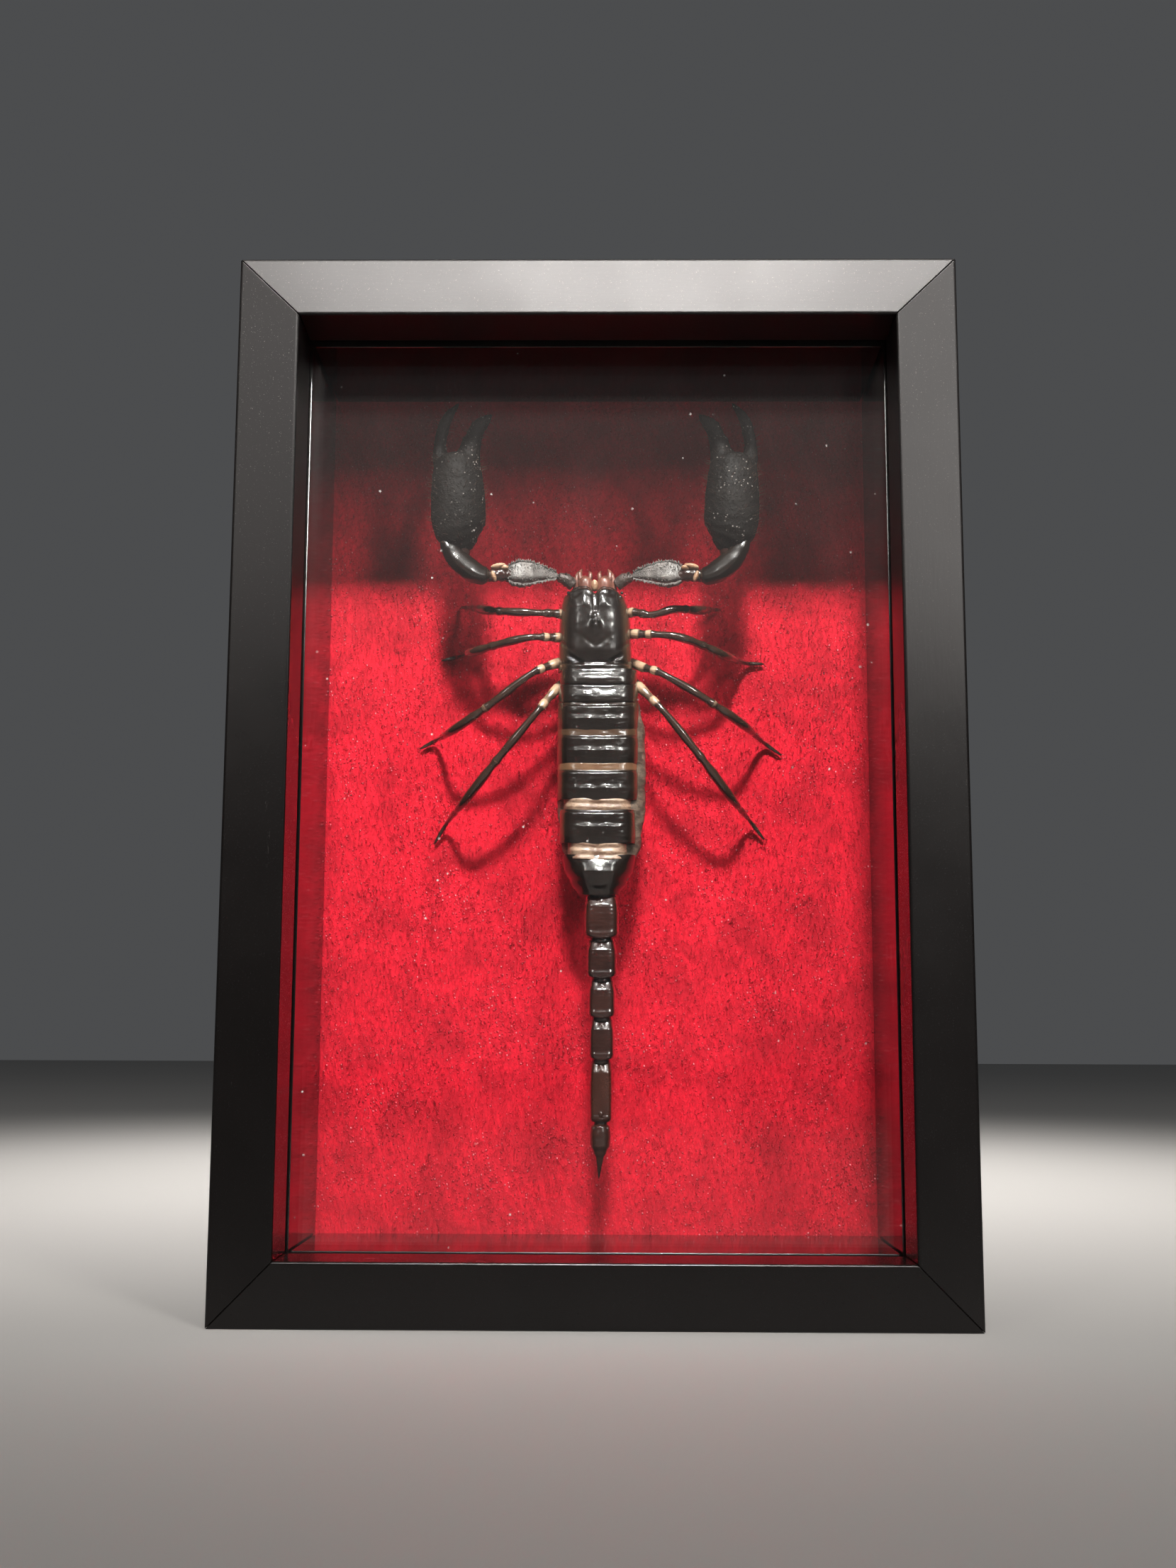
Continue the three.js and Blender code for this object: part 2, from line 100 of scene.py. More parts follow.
class SpecimenSizes(bpy.types.PropertyGroup):
    """The look of the dried animal"""
    shell: tint_of("Shell", (0.0065, 0.0040, 0.0030), "Colour of the black plates")
    claw: tint_of("Claws", (0.0040, 0.0032, 0.0028), "Colour of the granular claws")
    leg: tint_of("Legs", (0.018, 0.009, 0.006), "Colour of the legs' shafts")
    sting: tint_of("Sting", (0.022, 0.0065, 0.004), "Colour of the last tail segment and the sting")
    skin: tint_of("Joint skin", (0.44, 0.29, 0.19), "Colour of the soft skin at the joints")
    seed: IntProperty(name="Seed", default=7, description="Seed of the pile, the bristles and the teeth")


def sizes():
    return bpy.context.scene.specimen_frame


def animal():
    return bpy.context.scene.specimen_animal


# Places

def over_cloth(x, z, height):
    """A point given in millimetres: across, up, and out from the cloth"""
    return Vector((x * MM, CLOTH_FACE - height * MM, z * MM))


class Route:
    """A smooth line through points given as (x, z, height over the cloth) in millimetres"""
    STEPS = 16

    def __init__(self, points):
        knots = [over_cloth(*point) for point in points]
        before = [knots[0] * 2 - knots[1]] + knots
        after = knots + [knots[-1] * 2 - knots[-2]]
        self.line = [knots[0]]
        for i in range(len(knots) - 1):
            here, there = knots[i], knots[i + 1]
            reach = (there - here).length
            leave = (there - before[i]).normalized() * reach / 3
            arrive = (after[i + 2] - here).normalized() * reach / 3
            self.line += interpolate_bezier(here, here + leave, there - arrive, there, self.STEPS)[1:]
        self.marks = [0.0]
        for a, b in zip(self.line, self.line[1:]):
            self.marks.append(self.marks[-1] + (b - a).length)
        self.length = self.marks[-1]

    def at(self, share):
        """Point, direction along, direction sideways and direction outwards at a share of the length"""
        target = min(max(share, 0.0), 1.0) * self.length
        i = 0
        while i < len(self.marks) - 2 and self.marks[i + 1] < target:
            i += 1
        a, b = self.line[i], self.line[i + 1]
        part = (target - self.marks[i]) / max(self.marks[i + 1] - self.marks[i], 1e-9)
        ahead = self.line[min(i + 2, len(self.line) - 1)]
        behind = self.line[max(i - 1, 0)]
        along = ((b - behind) * (1 - part) + (ahead - a) * part).normalized()
        out = Vector((0, -1, 0))
        out = (out - along * out.dot(along)).normalized()
        return a.lerp(b, part), along, out.cross(along), out


def steps(count):
    """Shares from 0 to 1, evenly spaced"""
    return [i / (count - 1) for i in range(count)]


def between(stops, share):
    """A smooth value read from (share, value) stops"""
    if share <= stops[0][0]:
        return stops[0][1]
    for (s0, v0), (s1, v1) in zip(stops, stops[1:]):
        if share <= s1:
            part = (share - s0) / (s1 - s0)
            part = part * part * (3 - 2 * part)
            return v0 + (v1 - v0) * part
    return stops[-1][1]


def bump_at(value, centre, width):
    """One round bump that is 1 at the centre"""
    return math.exp(-((value - centre) / width) ** 2)


def tube_noise(share, angle, along, around):
    """Noise on a tube, finer along it or around it with a larger number"""
    return noise.noise(Vector((share * along, math.cos(angle) * around, math.sin(angle) * around)))


# Meshes

def tube_mesh(shares, sides, place, mesh=None, mark=None):
    """A closed tube: a cylinder cut into rings, each corner then put where place(share, angle) says.
    mark(share) is kept on the corners as the attribute joint"""
    bm = bmesh.new()
    bmesh.ops.create_cone(bm, cap_ends=True, cap_tris=False, segments=sides, radius1=1, radius2=1,
                          depth=1, matrix=Matrix.Translation((0, 0, 0.5)))
    long_edges = [e for e in bm.edges if abs(e.verts[0].co.z - e.verts[1].co.z) > 0.5]
    bmesh.ops.subdivide_edges(bm, edges=long_edges, cuts=len(shares) - 2)
    layer = bm.verts.layers.float.new("joint")
    for v in bm.verts:
        share = shares[round(v.co.z * (len(shares) - 1))]
        v[layer] = mark(share) if mark else 0.0
        v.co = place(share, math.atan2(v.co.y, v.co.x))
    if mesh is None:
        return bm
    passing = bpy.data.meshes.new("passing")
    bm.to_mesh(passing)
    bm.free()
    mesh.from_mesh(passing)
    bpy.data.meshes.remove(passing)
    return mesh


def limb_mesh(route, profile, sides=12, rings=24, wide=1.0, thick=1.0, relief=None, slide=None,
              mesh=None, mark=None):
    """A tube along a route. profile holds (share, radius in mm), relief(share, angle) scales the radius, and
    slide(share, angle) moves a corner along the route, in mm"""
    def place(share, angle):
        point, along, side, out = route.at(share)
        radius = between(profile, share) * MM
        if relief:
            radius *= relief(share, angle)
        if slide:
            point = point + along * (slide(share, angle) * MM)
        return point + side * (radius * wide * math.cos(angle)) + out * (radius * thick * math.sin(angle))
    return tube_mesh(steps(rings), sides, place, mesh, mark)


def ball(bm, centre, radii, rings=8, sides=12, turn=None):
    """A round lump, radii in millimetres along X, Y and Z"""
    matrix = Matrix.Translation(centre) @ (turn or Matrix.Identity(4))
    matrix = matrix @ Matrix.Diagonal((radii[0] * MM, radii[1] * MM, radii[2] * MM, 1))
    bmesh.ops.create_uvsphere(bm, u_segments=sides, v_segments=rings, radius=1, matrix=matrix)


def spike(bm, foot, towards, radius, length, sides=3):
    """A thin pointed cone, sizes in millimetres"""
    turn = towards.to_track_quat("Z", "Y").to_matrix().to_4x4()
    matrix = Matrix.Translation(foot + towards.normalized() * (length * MM / 2)) @ turn
    bmesh.ops.create_cone(bm, cap_ends=True, segments=sides, radius1=radius * MM, radius2=radius * MM * 0.15,
                          depth=length * MM, matrix=matrix)


def sheet_mesh(across, along, place, mesh=None, mark=None):
    """An open grid of across x along cells, each corner put where place(u, v) says, u and v from 0 to 1.
    mark(u, v) is kept on the corners as the attribute joint"""
    bm = mesh or bmesh.new()
    layer = bm.verts.layers.float.get("joint") or bm.verts.layers.float.new("joint")
    made = bmesh.ops.create_grid(bm, x_segments=across, y_segments=along, size=0.5)
    for corner in made["verts"]:
        u, v = corner.co.x + 0.5, corner.co.y + 0.5
        corner[layer] = mark(u, v) if mark else 0.0
        corner.co = place(u, v)
    return bm


def refined_copy(node):
    """A copy of a CAD node with its loose corners joined and its flat faces whole"""
    bm = bmesh.new()
    bm.from_mesh(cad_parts[node].data)
    bmesh.ops.remove_doubles(bm, verts=bm.verts[:], dist=1e-6)
    bmesh.ops.dissolve_limit(bm, angle_limit=math.radians(1), verts=bm.verts[:], edges=bm.edges[:])
    return bm


def bevel(bm, edges, width, segments=2):
    bmesh.ops.bevel(bm, geom=edges, offset=width, segments=segments, profile=0.5, affect="EDGES",
                    material=-1, clamp_overlap=True)


def sharp_edges(bm, least=25):
    """The edges where two faces meet at more than least degrees"""
    return [e for e in bm.edges if e.is_manifold and e.calc_face_angle(0) > math.radians(least)]


def finished(name, bm, look, nodes=(), smooth=True, subdivisions=0):
    """Turns a bmesh into a piece that rides on the body and stands for its CAD nodes"""
    mesh = bpy.data.meshes.new(name)
    bm.to_mesh(mesh)
    bm.free()
    mesh.polygons.foreach_set("use_smooth", [smooth] * len(mesh.polygons))
    mesh.materials.append(finish(look))
    piece = bpy.data.objects.new(name, mesh)
    bpy.context.collection.objects.link(piece)
    if subdivisions:
        refine = piece.modifiers.new("Smooth form", "SUBSURF")
        refine.levels = subdivisions
        refine.render_levels = subdivisions
    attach(piece, BODY)
    if nodes:
        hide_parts(*nodes)
    return piece


def apply_modifiers(piece):
    graph = bpy.context.evaluated_depsgraph_get()
    mesh = bpy.data.meshes.new_from_object(piece.evaluated_get(graph))
    old = piece.data
    piece.modifiers.clear()
    piece.data = mesh
    bpy.data.meshes.remove(old)


# Materials

class Value:
    """A shader socket that takes part in sums"""

    def __init__(self, finish, socket):
        self.finish = finish
        self.socket = socket

    def combine(self, operation, other, swapped=False):
        first, second = (other, self) if swapped else (self, other)
        return self.finish.node("ShaderNodeMath", {"operation": operation}, {0: first, 1: second})

    def __add__(self, other):
        return self.combine("ADD", other)

    __radd__ = __add__

    def __sub__(self, other):
        return self.combine("SUBTRACT", other)

    def __rsub__(self, other):
        return self.combine("SUBTRACT", other, True)

    def __mul__(self, other):
        return self.combine("MULTIPLY", other)

    def __pow__(self, other):
        return self.combine("POWER", other)

    def ramp(self, low, high):
        """0 below low, 1 above high, smooth between"""
        return self.finish.node("ShaderNodeMapRange", {"interpolation_type": "SMOOTHSTEP", "clamp": True},
                                {"Value": self, 1: low, 2: high, 3: 0.0, 4: 1.0})


class Finish:
    """One material. node() adds any node; its settings come first, then its sockets' values or links"""

    def __init__(self, name):
        self.material = bpy.data.materials.new(name)
        self.material.use_nodes = True
        self.tree = self.material.node_tree
        self.tree.nodes.clear()

    def node(self, kind, settings=None, sockets=None, out=0):
        node = self.tree.nodes.new(kind)
        for name, value in (settings or {}).items():
            setattr(node, name, value)
        for name, value in (sockets or {}).items():
            if isinstance(value, Value):
                self.tree.links.new(value.socket, node.inputs[name])
            else:
                node.inputs[name].default_value = value
        return Value(self, node.outputs[out])

    def place(self, scale=(1, 1, 1), turn=(0, 0, 0)):
        """Object coordinates, stretched or turned"""
        coords = self.node("ShaderNodeTexCoord", out="Object")
        return self.node("ShaderNodeMapping", {}, {"Vector": coords, "Scale": scale, "Rotation": turn})

    def noise(self, place, scale, detail=2.0, rough=0.5, warp=0.0):
        return self.node("ShaderNodeTexNoise", {}, {"Vector": place, "Scale": scale, "Detail": detail,
                                                    "Roughness": rough, "Distortion": warp})

    def cells(self, place, scale, orderly=0.0):
        """Distance from the nearest of many scattered points; orderly sets them nearer to a square grid"""
        return self.node("ShaderNodeTexVoronoi", {},
                         {"Vector": place, "Scale": scale, "Randomness": 1 - orderly})

    def mix(self, factor, first, second):
        """A mix of two colours"""
        return self.node("ShaderNodeMix", {"data_type": "RGBA"},
                         {0: factor, 6: colour(first), 7: colour(second)}, out=2)

    def height_on_frame(self, place, low, high):
        """0 up to one height on the frame, 1 from another, in metres"""
        return self.node("ShaderNodeSeparateXYZ", {}, {0: place}, out="Z").ramp(low, high)

    def joint(self):
        """What the mesh keeps as the attribute joint"""
        return self.node("ShaderNodeAttribute", {"attribute_name": "joint"}, {}, out="Fac")

    def bump(self, height, distance, strength):
        return self.node("ShaderNodeBump", {}, {"Height": height, "Distance": distance, "Strength": strength})

    def surface(self, shader):
        output = self.tree.nodes.new("ShaderNodeOutputMaterial")
        self.tree.links.new(shader.socket, output.inputs["Surface"])
        return self.material

    def principled(self, **sockets):
        named = {}
        for name, value in sockets.items():
            named[name.replace("_", " ").title().replace("Ior", "IOR")] = value
        if "Base Color" in named:
            named["Base Color"] = colour(named["Base Color"])
        return self.node("ShaderNodeBsdfPrincipled", {}, named)


def colour(value):
    """A colour of three numbers as four; a link is left alone"""
    return value if isinstance(value, Value) else (*tuple(value)[:3], 1.0)


def times(tint, factor):
    """A colour made darker or paler"""
    return tuple(c * factor for c in tint)


def black_lacquer(name, along):
    """Satin black lacquer on wood, brushed along x or z, with scuffs and dust, duller towards the top"""
    f = Finish(name)
    grain_stretch = (0.12, 1, 1) if along == "x" else (1, 1, 0.12)
    even = f.place()
    lengthways = f.place(grain_stretch)
    grain = f.noise(lengthways, 2600, 4, 0.6)
    broad = f.noise(even, 70, 3, 0.6)
    scuff = f.noise(lengthways, 900, 6, 0.75, 0.6).ramp(0.66, 0.74) * f.noise(even, 160, 2).ramp(0.5, 0.62)
    dust = f.noise(even, 5200, 2, 0.6).ramp(0.66, 0.73)
    upper = f.height_on_frame(even, 0.07, 0.155)
    base = f.mix(broad, sizes().lacquer, times(sizes().lacquer, 1.9))
    base = f.mix(scuff * 0.35, base, (0.14, 0.13, 0.12))
    base = f.mix(dust * 0.30 * upper, base, (0.30, 0.28, 0.26))
    rough = 0.22 + upper * 0.15 + broad * 0.08 + scuff * 0.15 + dust * 0.2
    height = grain * 0.6 + broad * 0.8 + scuff * -0.6
    return f.surface(f.principled(base_color=base, roughness=rough, specular_ior_level=0.24,
                                  normal=f.bump(height, 0.02 * MM, 0.6)))


def clear_glass():
    """A thin pane: it mirrors more at low angles and lets the rest through, with dust specks and a faint pale
    haze. Towards the top the haze is thicker: a painted reflection, standing in for the veil of light that
    the glass mirrors there. The mirrored share is the same from both sides of a face, so the lamps
    shine in at every angle"""
    f = Finish("picture_glass")
    even = f.place()
    clear = f.node("ShaderNodeBsdfTransparent", {}, {"Color": (0.985, 0.995, 0.99, 1)})
    mirror = f.node("ShaderNodeBsdfGlossy", {}, {"Color": (1, 1, 1, 1), "Roughness": 0.02})
    edge_on = f.node("ShaderNodeLayerWeight", {}, {"Blend": 0.5}, out="Facing")
    pane = f.node("ShaderNodeMixShader", {}, {0: 0.03 + edge_on ** 5 * 0.97, 1: clear, 2: mirror})
    specks = (1 - f.cells(even, 380).ramp(0.04, 0.10)) * f.noise(even, 210, 2).ramp(0.58, 0.66)
    smear = f.noise(f.place((1, 1, 0.5), (0, 0.6, 0)), 55, 5, 0.7, 1.0).ramp(0.35, 0.80)
    # Painted reflection: the pale haze thickens from this height up, in place of the veil of reflected light
    upper = f.height_on_frame(even, 0.080, 0.128)
    dust_and_painted_veil = specks * 0.35 + (0.9 + smear * 0.3) * (0.0006 + upper * 0.0068)
    # This pale layer shows both the real dust specks and the painted reflected veil
    dust = f.node("ShaderNodeBsdfDiffuse", {}, {"Color": (0.75, 0.70, 0.68, 1)})
    return f.surface(f.node("ShaderNodeMixShader", {}, {0: dust_and_painted_veil, 1: pane, 2: dust}))


def liner():
    """Satin-gloss black lining that mirrors the cloth at a low angle"""
    f = Finish("liner_black")
    even = f.place()
    broad = f.noise(even, 60, 3, 0.6)
    fine = f.noise(even, 3000, 3, 0.6)
    base = f.mix(broad, (0.006, 0.004, 0.004), (0.014, 0.010, 0.009))
    return f.surface(f.principled(base_color=base, roughness=0.07 + broad * 0.07 + fine * 0.03,
                                  specular_ior_level=0.75, normal=f.bump(broad + fine * 0.3, 0.03 * MM, 0.5)))


def velvet():
    """Crimson pile over deep red with a mottled nap. The fibre ends in slanting rows are painted paler, some
    with pale pink glints: painted sheen and painted highlights. The gaps between the tufts are painted darker
    as shade
    """
    f = Finish("crimson_velvet")
    even = f.place()
    red = tuple(sizes().velvet)
    slant = (0, 0.30, 0)
    rows = f.place((1, 1, 0.62), slant)
    nap = f.noise(even, 150, 3, 0.6, 0.4)
    tufts = f.cells(rows, 2500)
    sheen_tips = 1 - f.cells(f.place((1, 1, 0.8), slant), 1750, orderly=0.62).ramp(0.10, 0.34)
    painted_glints = sheen_tips * f.noise(rows, 1500, 2, 0.6).ramp(0.54, 0.64)
    threads = {"Vector": f.place((1, 1, 1), slant), "Scale": 185.0, "Distortion": 2.5, "Detail": 2.0}
    weave = f.node("ShaderNodeTexWave", {"bands_direction": "X"}, threads)
    dark = times(red, 0.50)
    base = f.mix(nap.ramp(0.32, 0.62), times(red, 0.66), red)
    # Painted shade: the pile is darker in the gaps between tufts
    base = f.mix(tufts.ramp(0.35, 0.75) * 0.45, base, dark)
    # Painted sheen: the fibre ends are a paler red, where light would catch them
    base = f.mix(sheen_tips * 0.55, base, (0.82, 0.030, 0.065))
    # Painted highlights: pale pink glints on some fibre ends
    base = f.mix(painted_glints * 0.85, base, (0.98, 0.36, 0.40))
    base = f.mix(weave * 0.20, base, dark)
    height = sheen_tips + tufts * -0.4 + weave * 0.3
    return f.surface(f.principled(base_color=base, roughness=0.9, sheen_weight=0.25, sheen_roughness=0.35,
                                  sheen_tint=(1.0, 0.30, 0.34, 1), specular_ior_level=0.2,
                                  normal=f.bump(height, 0.22 * MM, 0.9)))


def board(name, dark, pale, scale):
    """Pressed board with flecks of fibre"""
    f = Finish(name)
    even = f.place()
    broad = f.noise(even, 30, 3, 0.6)
    fleck = f.noise(f.place((1, 1, 0.4), (0, 0.5, 0)), scale, 5, 0.7, 0.5)
    base = f.mix(fleck.ramp(0.35, 0.7), dark, pale)
    base = f.mix(broad.ramp(0.45, 0.7) * 0.35, base, times(dark, 0.7))
    return f.surface(f.principled(base_color=base, roughness=0.75 + fleck * 0.15,
                                  normal=f.bump(fleck + broad, 0.08 * MM, 0.6)))


def metal(name, tint, rough):
    """Plated sheet metal with rolling marks and a few duller spots"""
    f = Finish(name)
    marks = f.noise(f.place((0.05, 1, 1)), 3500, 3, 0.6)
    spots = f.noise(f.place(), 380, 4, 0.7)
    base = f.mix(spots.ramp(0.5, 0.72) * 0.6, tint, times(tint, 0.45))
    worn = rough + marks * 0.15 + spots * 0.15
    return f.surface(f.principled(base_color=base, metallic=1.0, roughness=worn,
                                  normal=f.bump(marks, 0.01 * MM, 0.5)))


def shell(name, tint, rough, grain, gloss=0.5, mottle=1.8, pitted=0.22):
    """Hard skin of the animal: near black and shiny, with fine pits about grain millimetres across. It turns
    brown where the attribute joint says so"""
    f = Finish(name)
    even = f.place()
    broad = f.noise(even, 260, 4, 0.6)
    pits = f.cells(even, 1 / (grain * MM)).ramp(0.05, 0.5)
    fine = f.noise(even, 3800, 3, 0.65)
    base = f.mix(broad.ramp(0.3, 0.7), tint, times(tint, mottle))
    base = f.mix(f.joint() * (0.5 + broad), base, (0.20, 0.105, 0.055))
    dull = rough + broad * 0.10 + fine * 0.06
    height = pits * pitted + broad * 0.9 + fine * 0.2
    return f.surface(f.principled(base_color=base, roughness=dull, coat_weight=gloss, coat_roughness=0.12,
                                  normal=f.bump(height, 0.05 * MM, 0.5)))


def granular_shell(name, tint):
    """Dull grey-black skin of the claws, pebbled all over. The pebbles' raised middles and scattered specks
    are
    painted paler: painted highlights where light catches the granules
    """
    f = Finish(name)
    even = f.place()
    broad = f.noise(even, 300, 4, 0.65)
    pebbles = f.cells(even, 2600).ramp(0.0, 0.55)
    lumps = f.cells(even, 1300).ramp(0.05, 0.7)
    base = f.mix(broad.ramp(0.35, 0.7), tint, times(tint, 2.0))
    # Painted highlights: the raised middles of the pebbles are paler
    base = f.mix((1 - pebbles) * 0.25, base, times(tint, 3.2))
    # Painted highlights: pale specks stand in for glints on the granules
    specks = (1 - f.cells(even, 1500).ramp(0.10, 0.24)) * f.noise(even, 420, 3, 0.6).ramp(0.44, 0.60)
    base = f.mix(specks * 0.85, base, (0.30, 0.27, 0.25))
    return f.surface(f.principled(base_color=base, roughness=0.48 + broad * 0.12, specular_ior_level=0.09,
                                  normal=f.bump(pebbles * -0.6 + lumps * -0.5, 0.10 * MM, 0.9)))


def rough_shell(name, tint):
    """Frosted skin of the upper arms, which scatters a pale sheen. Part of that sheen is painted: the upper
    arms are given a pale grey tint
    """
    f = Finish(name)
    even = f.place()
    broad = f.noise(even, 420, 4, 0.65)
    grains = f.cells(even, 3200).ramp(0.0, 0.6)
    base = f.mix(broad.ramp(0.35, 0.7), tint, times(tint, 2.0))
    height = grains * -0.6 + broad * 0.6
    return f.surface(f.principled(base_color=base, roughness=0.42 + broad * 0.12, coat_weight=0.25,
                                  coat_roughness=0.42, normal=f.bump(height, 0.08 * MM, 0.8)))


def leg_shell(name, tint, skin):
    """Shiny brown-black shafts that turn tan where the attribute joint says so"""
    f = Finish(name)
    even = f.place()
    broad = f.noise(even, 500, 4, 0.65)
    pale = (f.joint() + broad * 0.5 - 0.25).ramp(0.25, 0.75)
    base = f.mix(broad, tint, times(tint, 2.4))
    base = f.mix(pale, base, skin)
    return f.surface(f.principled(base_color=base, roughness=0.15 + broad * 0.10, coat_weight=0.9,
                                  coat_roughness=0.10,
                                  normal=f.bump(broad + f.noise(even, 4200, 3) * 0.4, 0.03 * MM, 0.6)))


def joint_skin(name, tint, dark):
    """Dried skin between the plates, creased across. The low parts of the creases are painted darker:
    painted shade
    """
    f = Finish(name)
    even = f.place()
    folds = f.noise(f.place((0.4, 0.4, 1)), 1300, 4, 0.65, 0.5)
    broad = f.noise(even, 330, 3, 0.6)
    # Painted shade: the creases' low parts take the dark colour, their ridges the pale one
    base = f.mix(folds.ramp(0.35, 0.68), dark, tint)
    base = f.mix(broad.ramp(0.55, 0.75) * 0.5, base, dark)
    return f.surface(f.principled(base_color=base, roughness=0.38 + folds * 0.2, coat_weight=0.25,
                                  coat_roughness=0.2, normal=f.bump(folds, 0.12 * MM, 0.8)))


finishes = {}


def finish(name):
    """Each material, made when it is first asked for"""
    makers = {
        "lacquer_x": lambda: black_lacquer("black_lacquer_level", "x"),
        "lacquer_z": lambda: black_lacquer("black_lacquer_upright", "z"),
        "glass": clear_glass,
        "liner": liner,
        "velvet": velvet,
        "greyboard": lambda: board("greyboard", (0.30, 0.27, 0.22), (0.50, 0.46, 0.38), 900),
        "hardboard": lambda: board("hardboard", (0.10, 0.050, 0.024), (0.23, 0.13, 0.068), 1100),
        "zinc": lambda: metal("zinc_plate", (0.55, 0.56, 0.57), 0.28),
        "brassed": lambda: metal("brass_plate", (0.62, 0.44, 0.17), 0.26),
        "shell": lambda: shell("black_shell", tuple(animal().shell), 0.15, 0.14),
        "tail": lambda: shell("tail_shell", (0.0140, 0.0042, 0.0028), 0.14, 0.20, 0.9, 2.2, 0.05),
        "sting": lambda: shell("sting_shell", tuple(animal().sting), 0.18, 0.26, 0.6, 1.8, 0.08),
        "claw": lambda: granular_shell("claw_shell", tuple(animal().claw)),
        # Painted sheen: the upper arms' pale grey tint stands in for the frosted glint of light on them
        "femur": lambda: rough_shell("arm_shell", (0.095, 0.085, 0.080)),
        "hip": lambda: rough_shell("hip_shell", (0.035, 0.022, 0.018)),
        "leg": lambda: leg_shell("leg_shell", tuple(animal().leg), tuple(animal().skin)),
        "skin": lambda: joint_skin("joint_skin", tuple(animal().skin), (0.24, 0.12, 0.06)),
        "band_skin": lambda: joint_skin("band_skin", (0.36, 0.245, 0.17), (0.14, 0.075, 0.048)),
        "side_skin": lambda: joint_skin("side_skin", (0.17, 0.125, 0.095), (0.045, 0.031, 0.023)),
        "jaw": lambda: shell("jaw_shell", (0.085, 0.030, 0.020), 0.28, 0.3, 0.4, 2.4),
        "hair": lambda: shell("hair", (0.050, 0.026, 0.015), 0.40, 0.5, 0.0),
    }
    if name not in finishes:
        finishes[name] = makers[name]()
    return finishes[name]


# The frame

def rail_section():
    """The moulding's outline: inwards from the outer edge, and back from the lip's front"""
    s = sizes()
    wall = FACE_WIDTH - (glass_high.x - (HALF_WIDTH - FACE_WIDTH)) - GAP
    depth = BACK - FRONT
    return [(0, s.face_slope), (FACE_WIDTH, 0), (FACE_WIDTH, LIP_DEPTH), (wall, LIP_DEPTH),
            (wall, depth), (0, depth)]


def rail_mesh(length):
    """One rail lying along X with its outer edge at z = 0, its section drawn out and both ends mitred"""
    s = sizes()
    bm = bmesh.new()
    outline = [bm.verts.new((0, FRONT + back, inwards)) for inwards, back in rail_section()]
    face = bm.faces.new(outline)
    moved = bmesh.ops.extrude_face_region(bm, geom=[face], use_keep_orig=True)
    far = [v for v in moved["geom"] if isinstance(v, bmesh.types.BMVert)]
    bmesh.ops.translate(bm, verts=far, vec=(1, 0, 0))
    for v in bm.verts:
        end = 1 if v.co.x > 0.5 else -1
        v.co.x = end * (length / 2 - v.co.z - s.mitre_gap)
    bmesh.ops.recalc_face_normals(bm, faces=bm.faces[:])
    long_edges = [e for e in bm.edges if abs(e.verts[0].co.x - e.verts[1].co.x) > length / 2]
    bevel(bm, long_edges, s.edge_round, 4)
    near_end = length / 2 - 2 * FACE_WIDTH
    bevel(bm, [e for e in sharp_edges(bm, 30) if all(abs(v.co.x) > near_end for v in e.verts)], 0.12 * MM)
    return bm


class SPECIMEN_OT_rails(bpy.types.Operator):
    """Build the four mitred rails"""
    bl_idname = "specimen.rails"
    bl_label = "Frame Rails"

    def execute(self, context):
        middle = HEIGHT / 2
        sides = {
            "rail_bottom": (2 * HALF_WIDTH, 0, (0, 0, 0), "lacquer_x"),
            "rail_top": (2 * HALF_WIDTH, math.pi, (0, 0, HEIGHT), "lacquer_x"),
            "rail_left": (HEIGHT, math.pi / 2, (-HALF_WIDTH, 0, middle), "lacquer_z"),
            "rail_right": (HEIGHT, -math.pi / 2, (HALF_WIDTH, 0, middle), "lacquer_z"),
        }
        for node, (length, turn, shift, look) in sides.items():
            bm = rail_mesh(length)
            bmesh.ops.transform(bm, matrix=Matrix.Translation(shift) @ Matrix.Rotation(turn, 4, "Y"),
                                verts=bm.verts[:])
            finished(node.replace("rail", "moulding"), bm, look, [node], smooth=False)
        return {"FINISHED"}


class SPECIMEN_OT_case(bpy.types.Operator):
    """Finish the glass, the spacer walls and the boards"""
    bl_idname = "specimen.case"
    bl_label = "Glass, Walls and Boards"

    def execute(self, context):
        looks = {"glass_pane": "glass", "backing_board": "greyboard"}
        for node, look in looks.items():
            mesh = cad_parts[node].data
            mesh.materials.clear()
            mesh.materials.append(finish(look))
        for side in ("top", "bottom", "left", "right"):
            bm = refined_copy("wall_" + side)
            bevel(bm, sharp_edges(bm), 0.15 * MM)
            finished("spacer_" + side, bm, "liner", ["wall_" + side], smooth=False)
        bm = refined_copy("back_panel")
        bevel(bm, sharp_edges(bm), 0.2 * MM)
        finished("back_board", bm, "hardboard", ["back_panel"], smooth=False)
        return {"FINISHED"}


class SPECIMEN_OT_fittings(bpy.types.Operator):
    """Build the framer's points and the sawtooth hanger on the back"""
    bl_idname = "specimen.fittings"
    bl_label = "Back Fittings"

    def execute(self, context):
        for i in range(1, 7):
            node = f"point_{i}"
            bm = refined_copy(node)
            bevel(bm, sharp_edges(bm), 0.1 * MM)
            finished(f"flat_point_{i}", bm, "zinc", [node], smooth=False)
        for node, name in (("hanger_plate", "sawtooth_plate"), ("hanger_rivet_left", "rivet_left"),
                           ("hanger_rivet_right", "rivet_right")):
            bm = refined_copy(node)
            bevel(bm, sharp_edges(bm), 0.08 * MM)
            finished(name, bm, "brassed", [node], smooth=False)
        return {"FINISHED"}


# The cloth

SHEET_SINK = 0.25 * MM
SHEET_WAVES = 0.12 * MM
PILE_MARGIN = 0.4 * MM
BLADE_RADIUS = 0.08 * MM
BLADE_LEAN = ((-0.55, -0.35, -math.pi), (0.55, 0.75, math.pi))
BLADE_GROWTH = (0.6, 1.25)


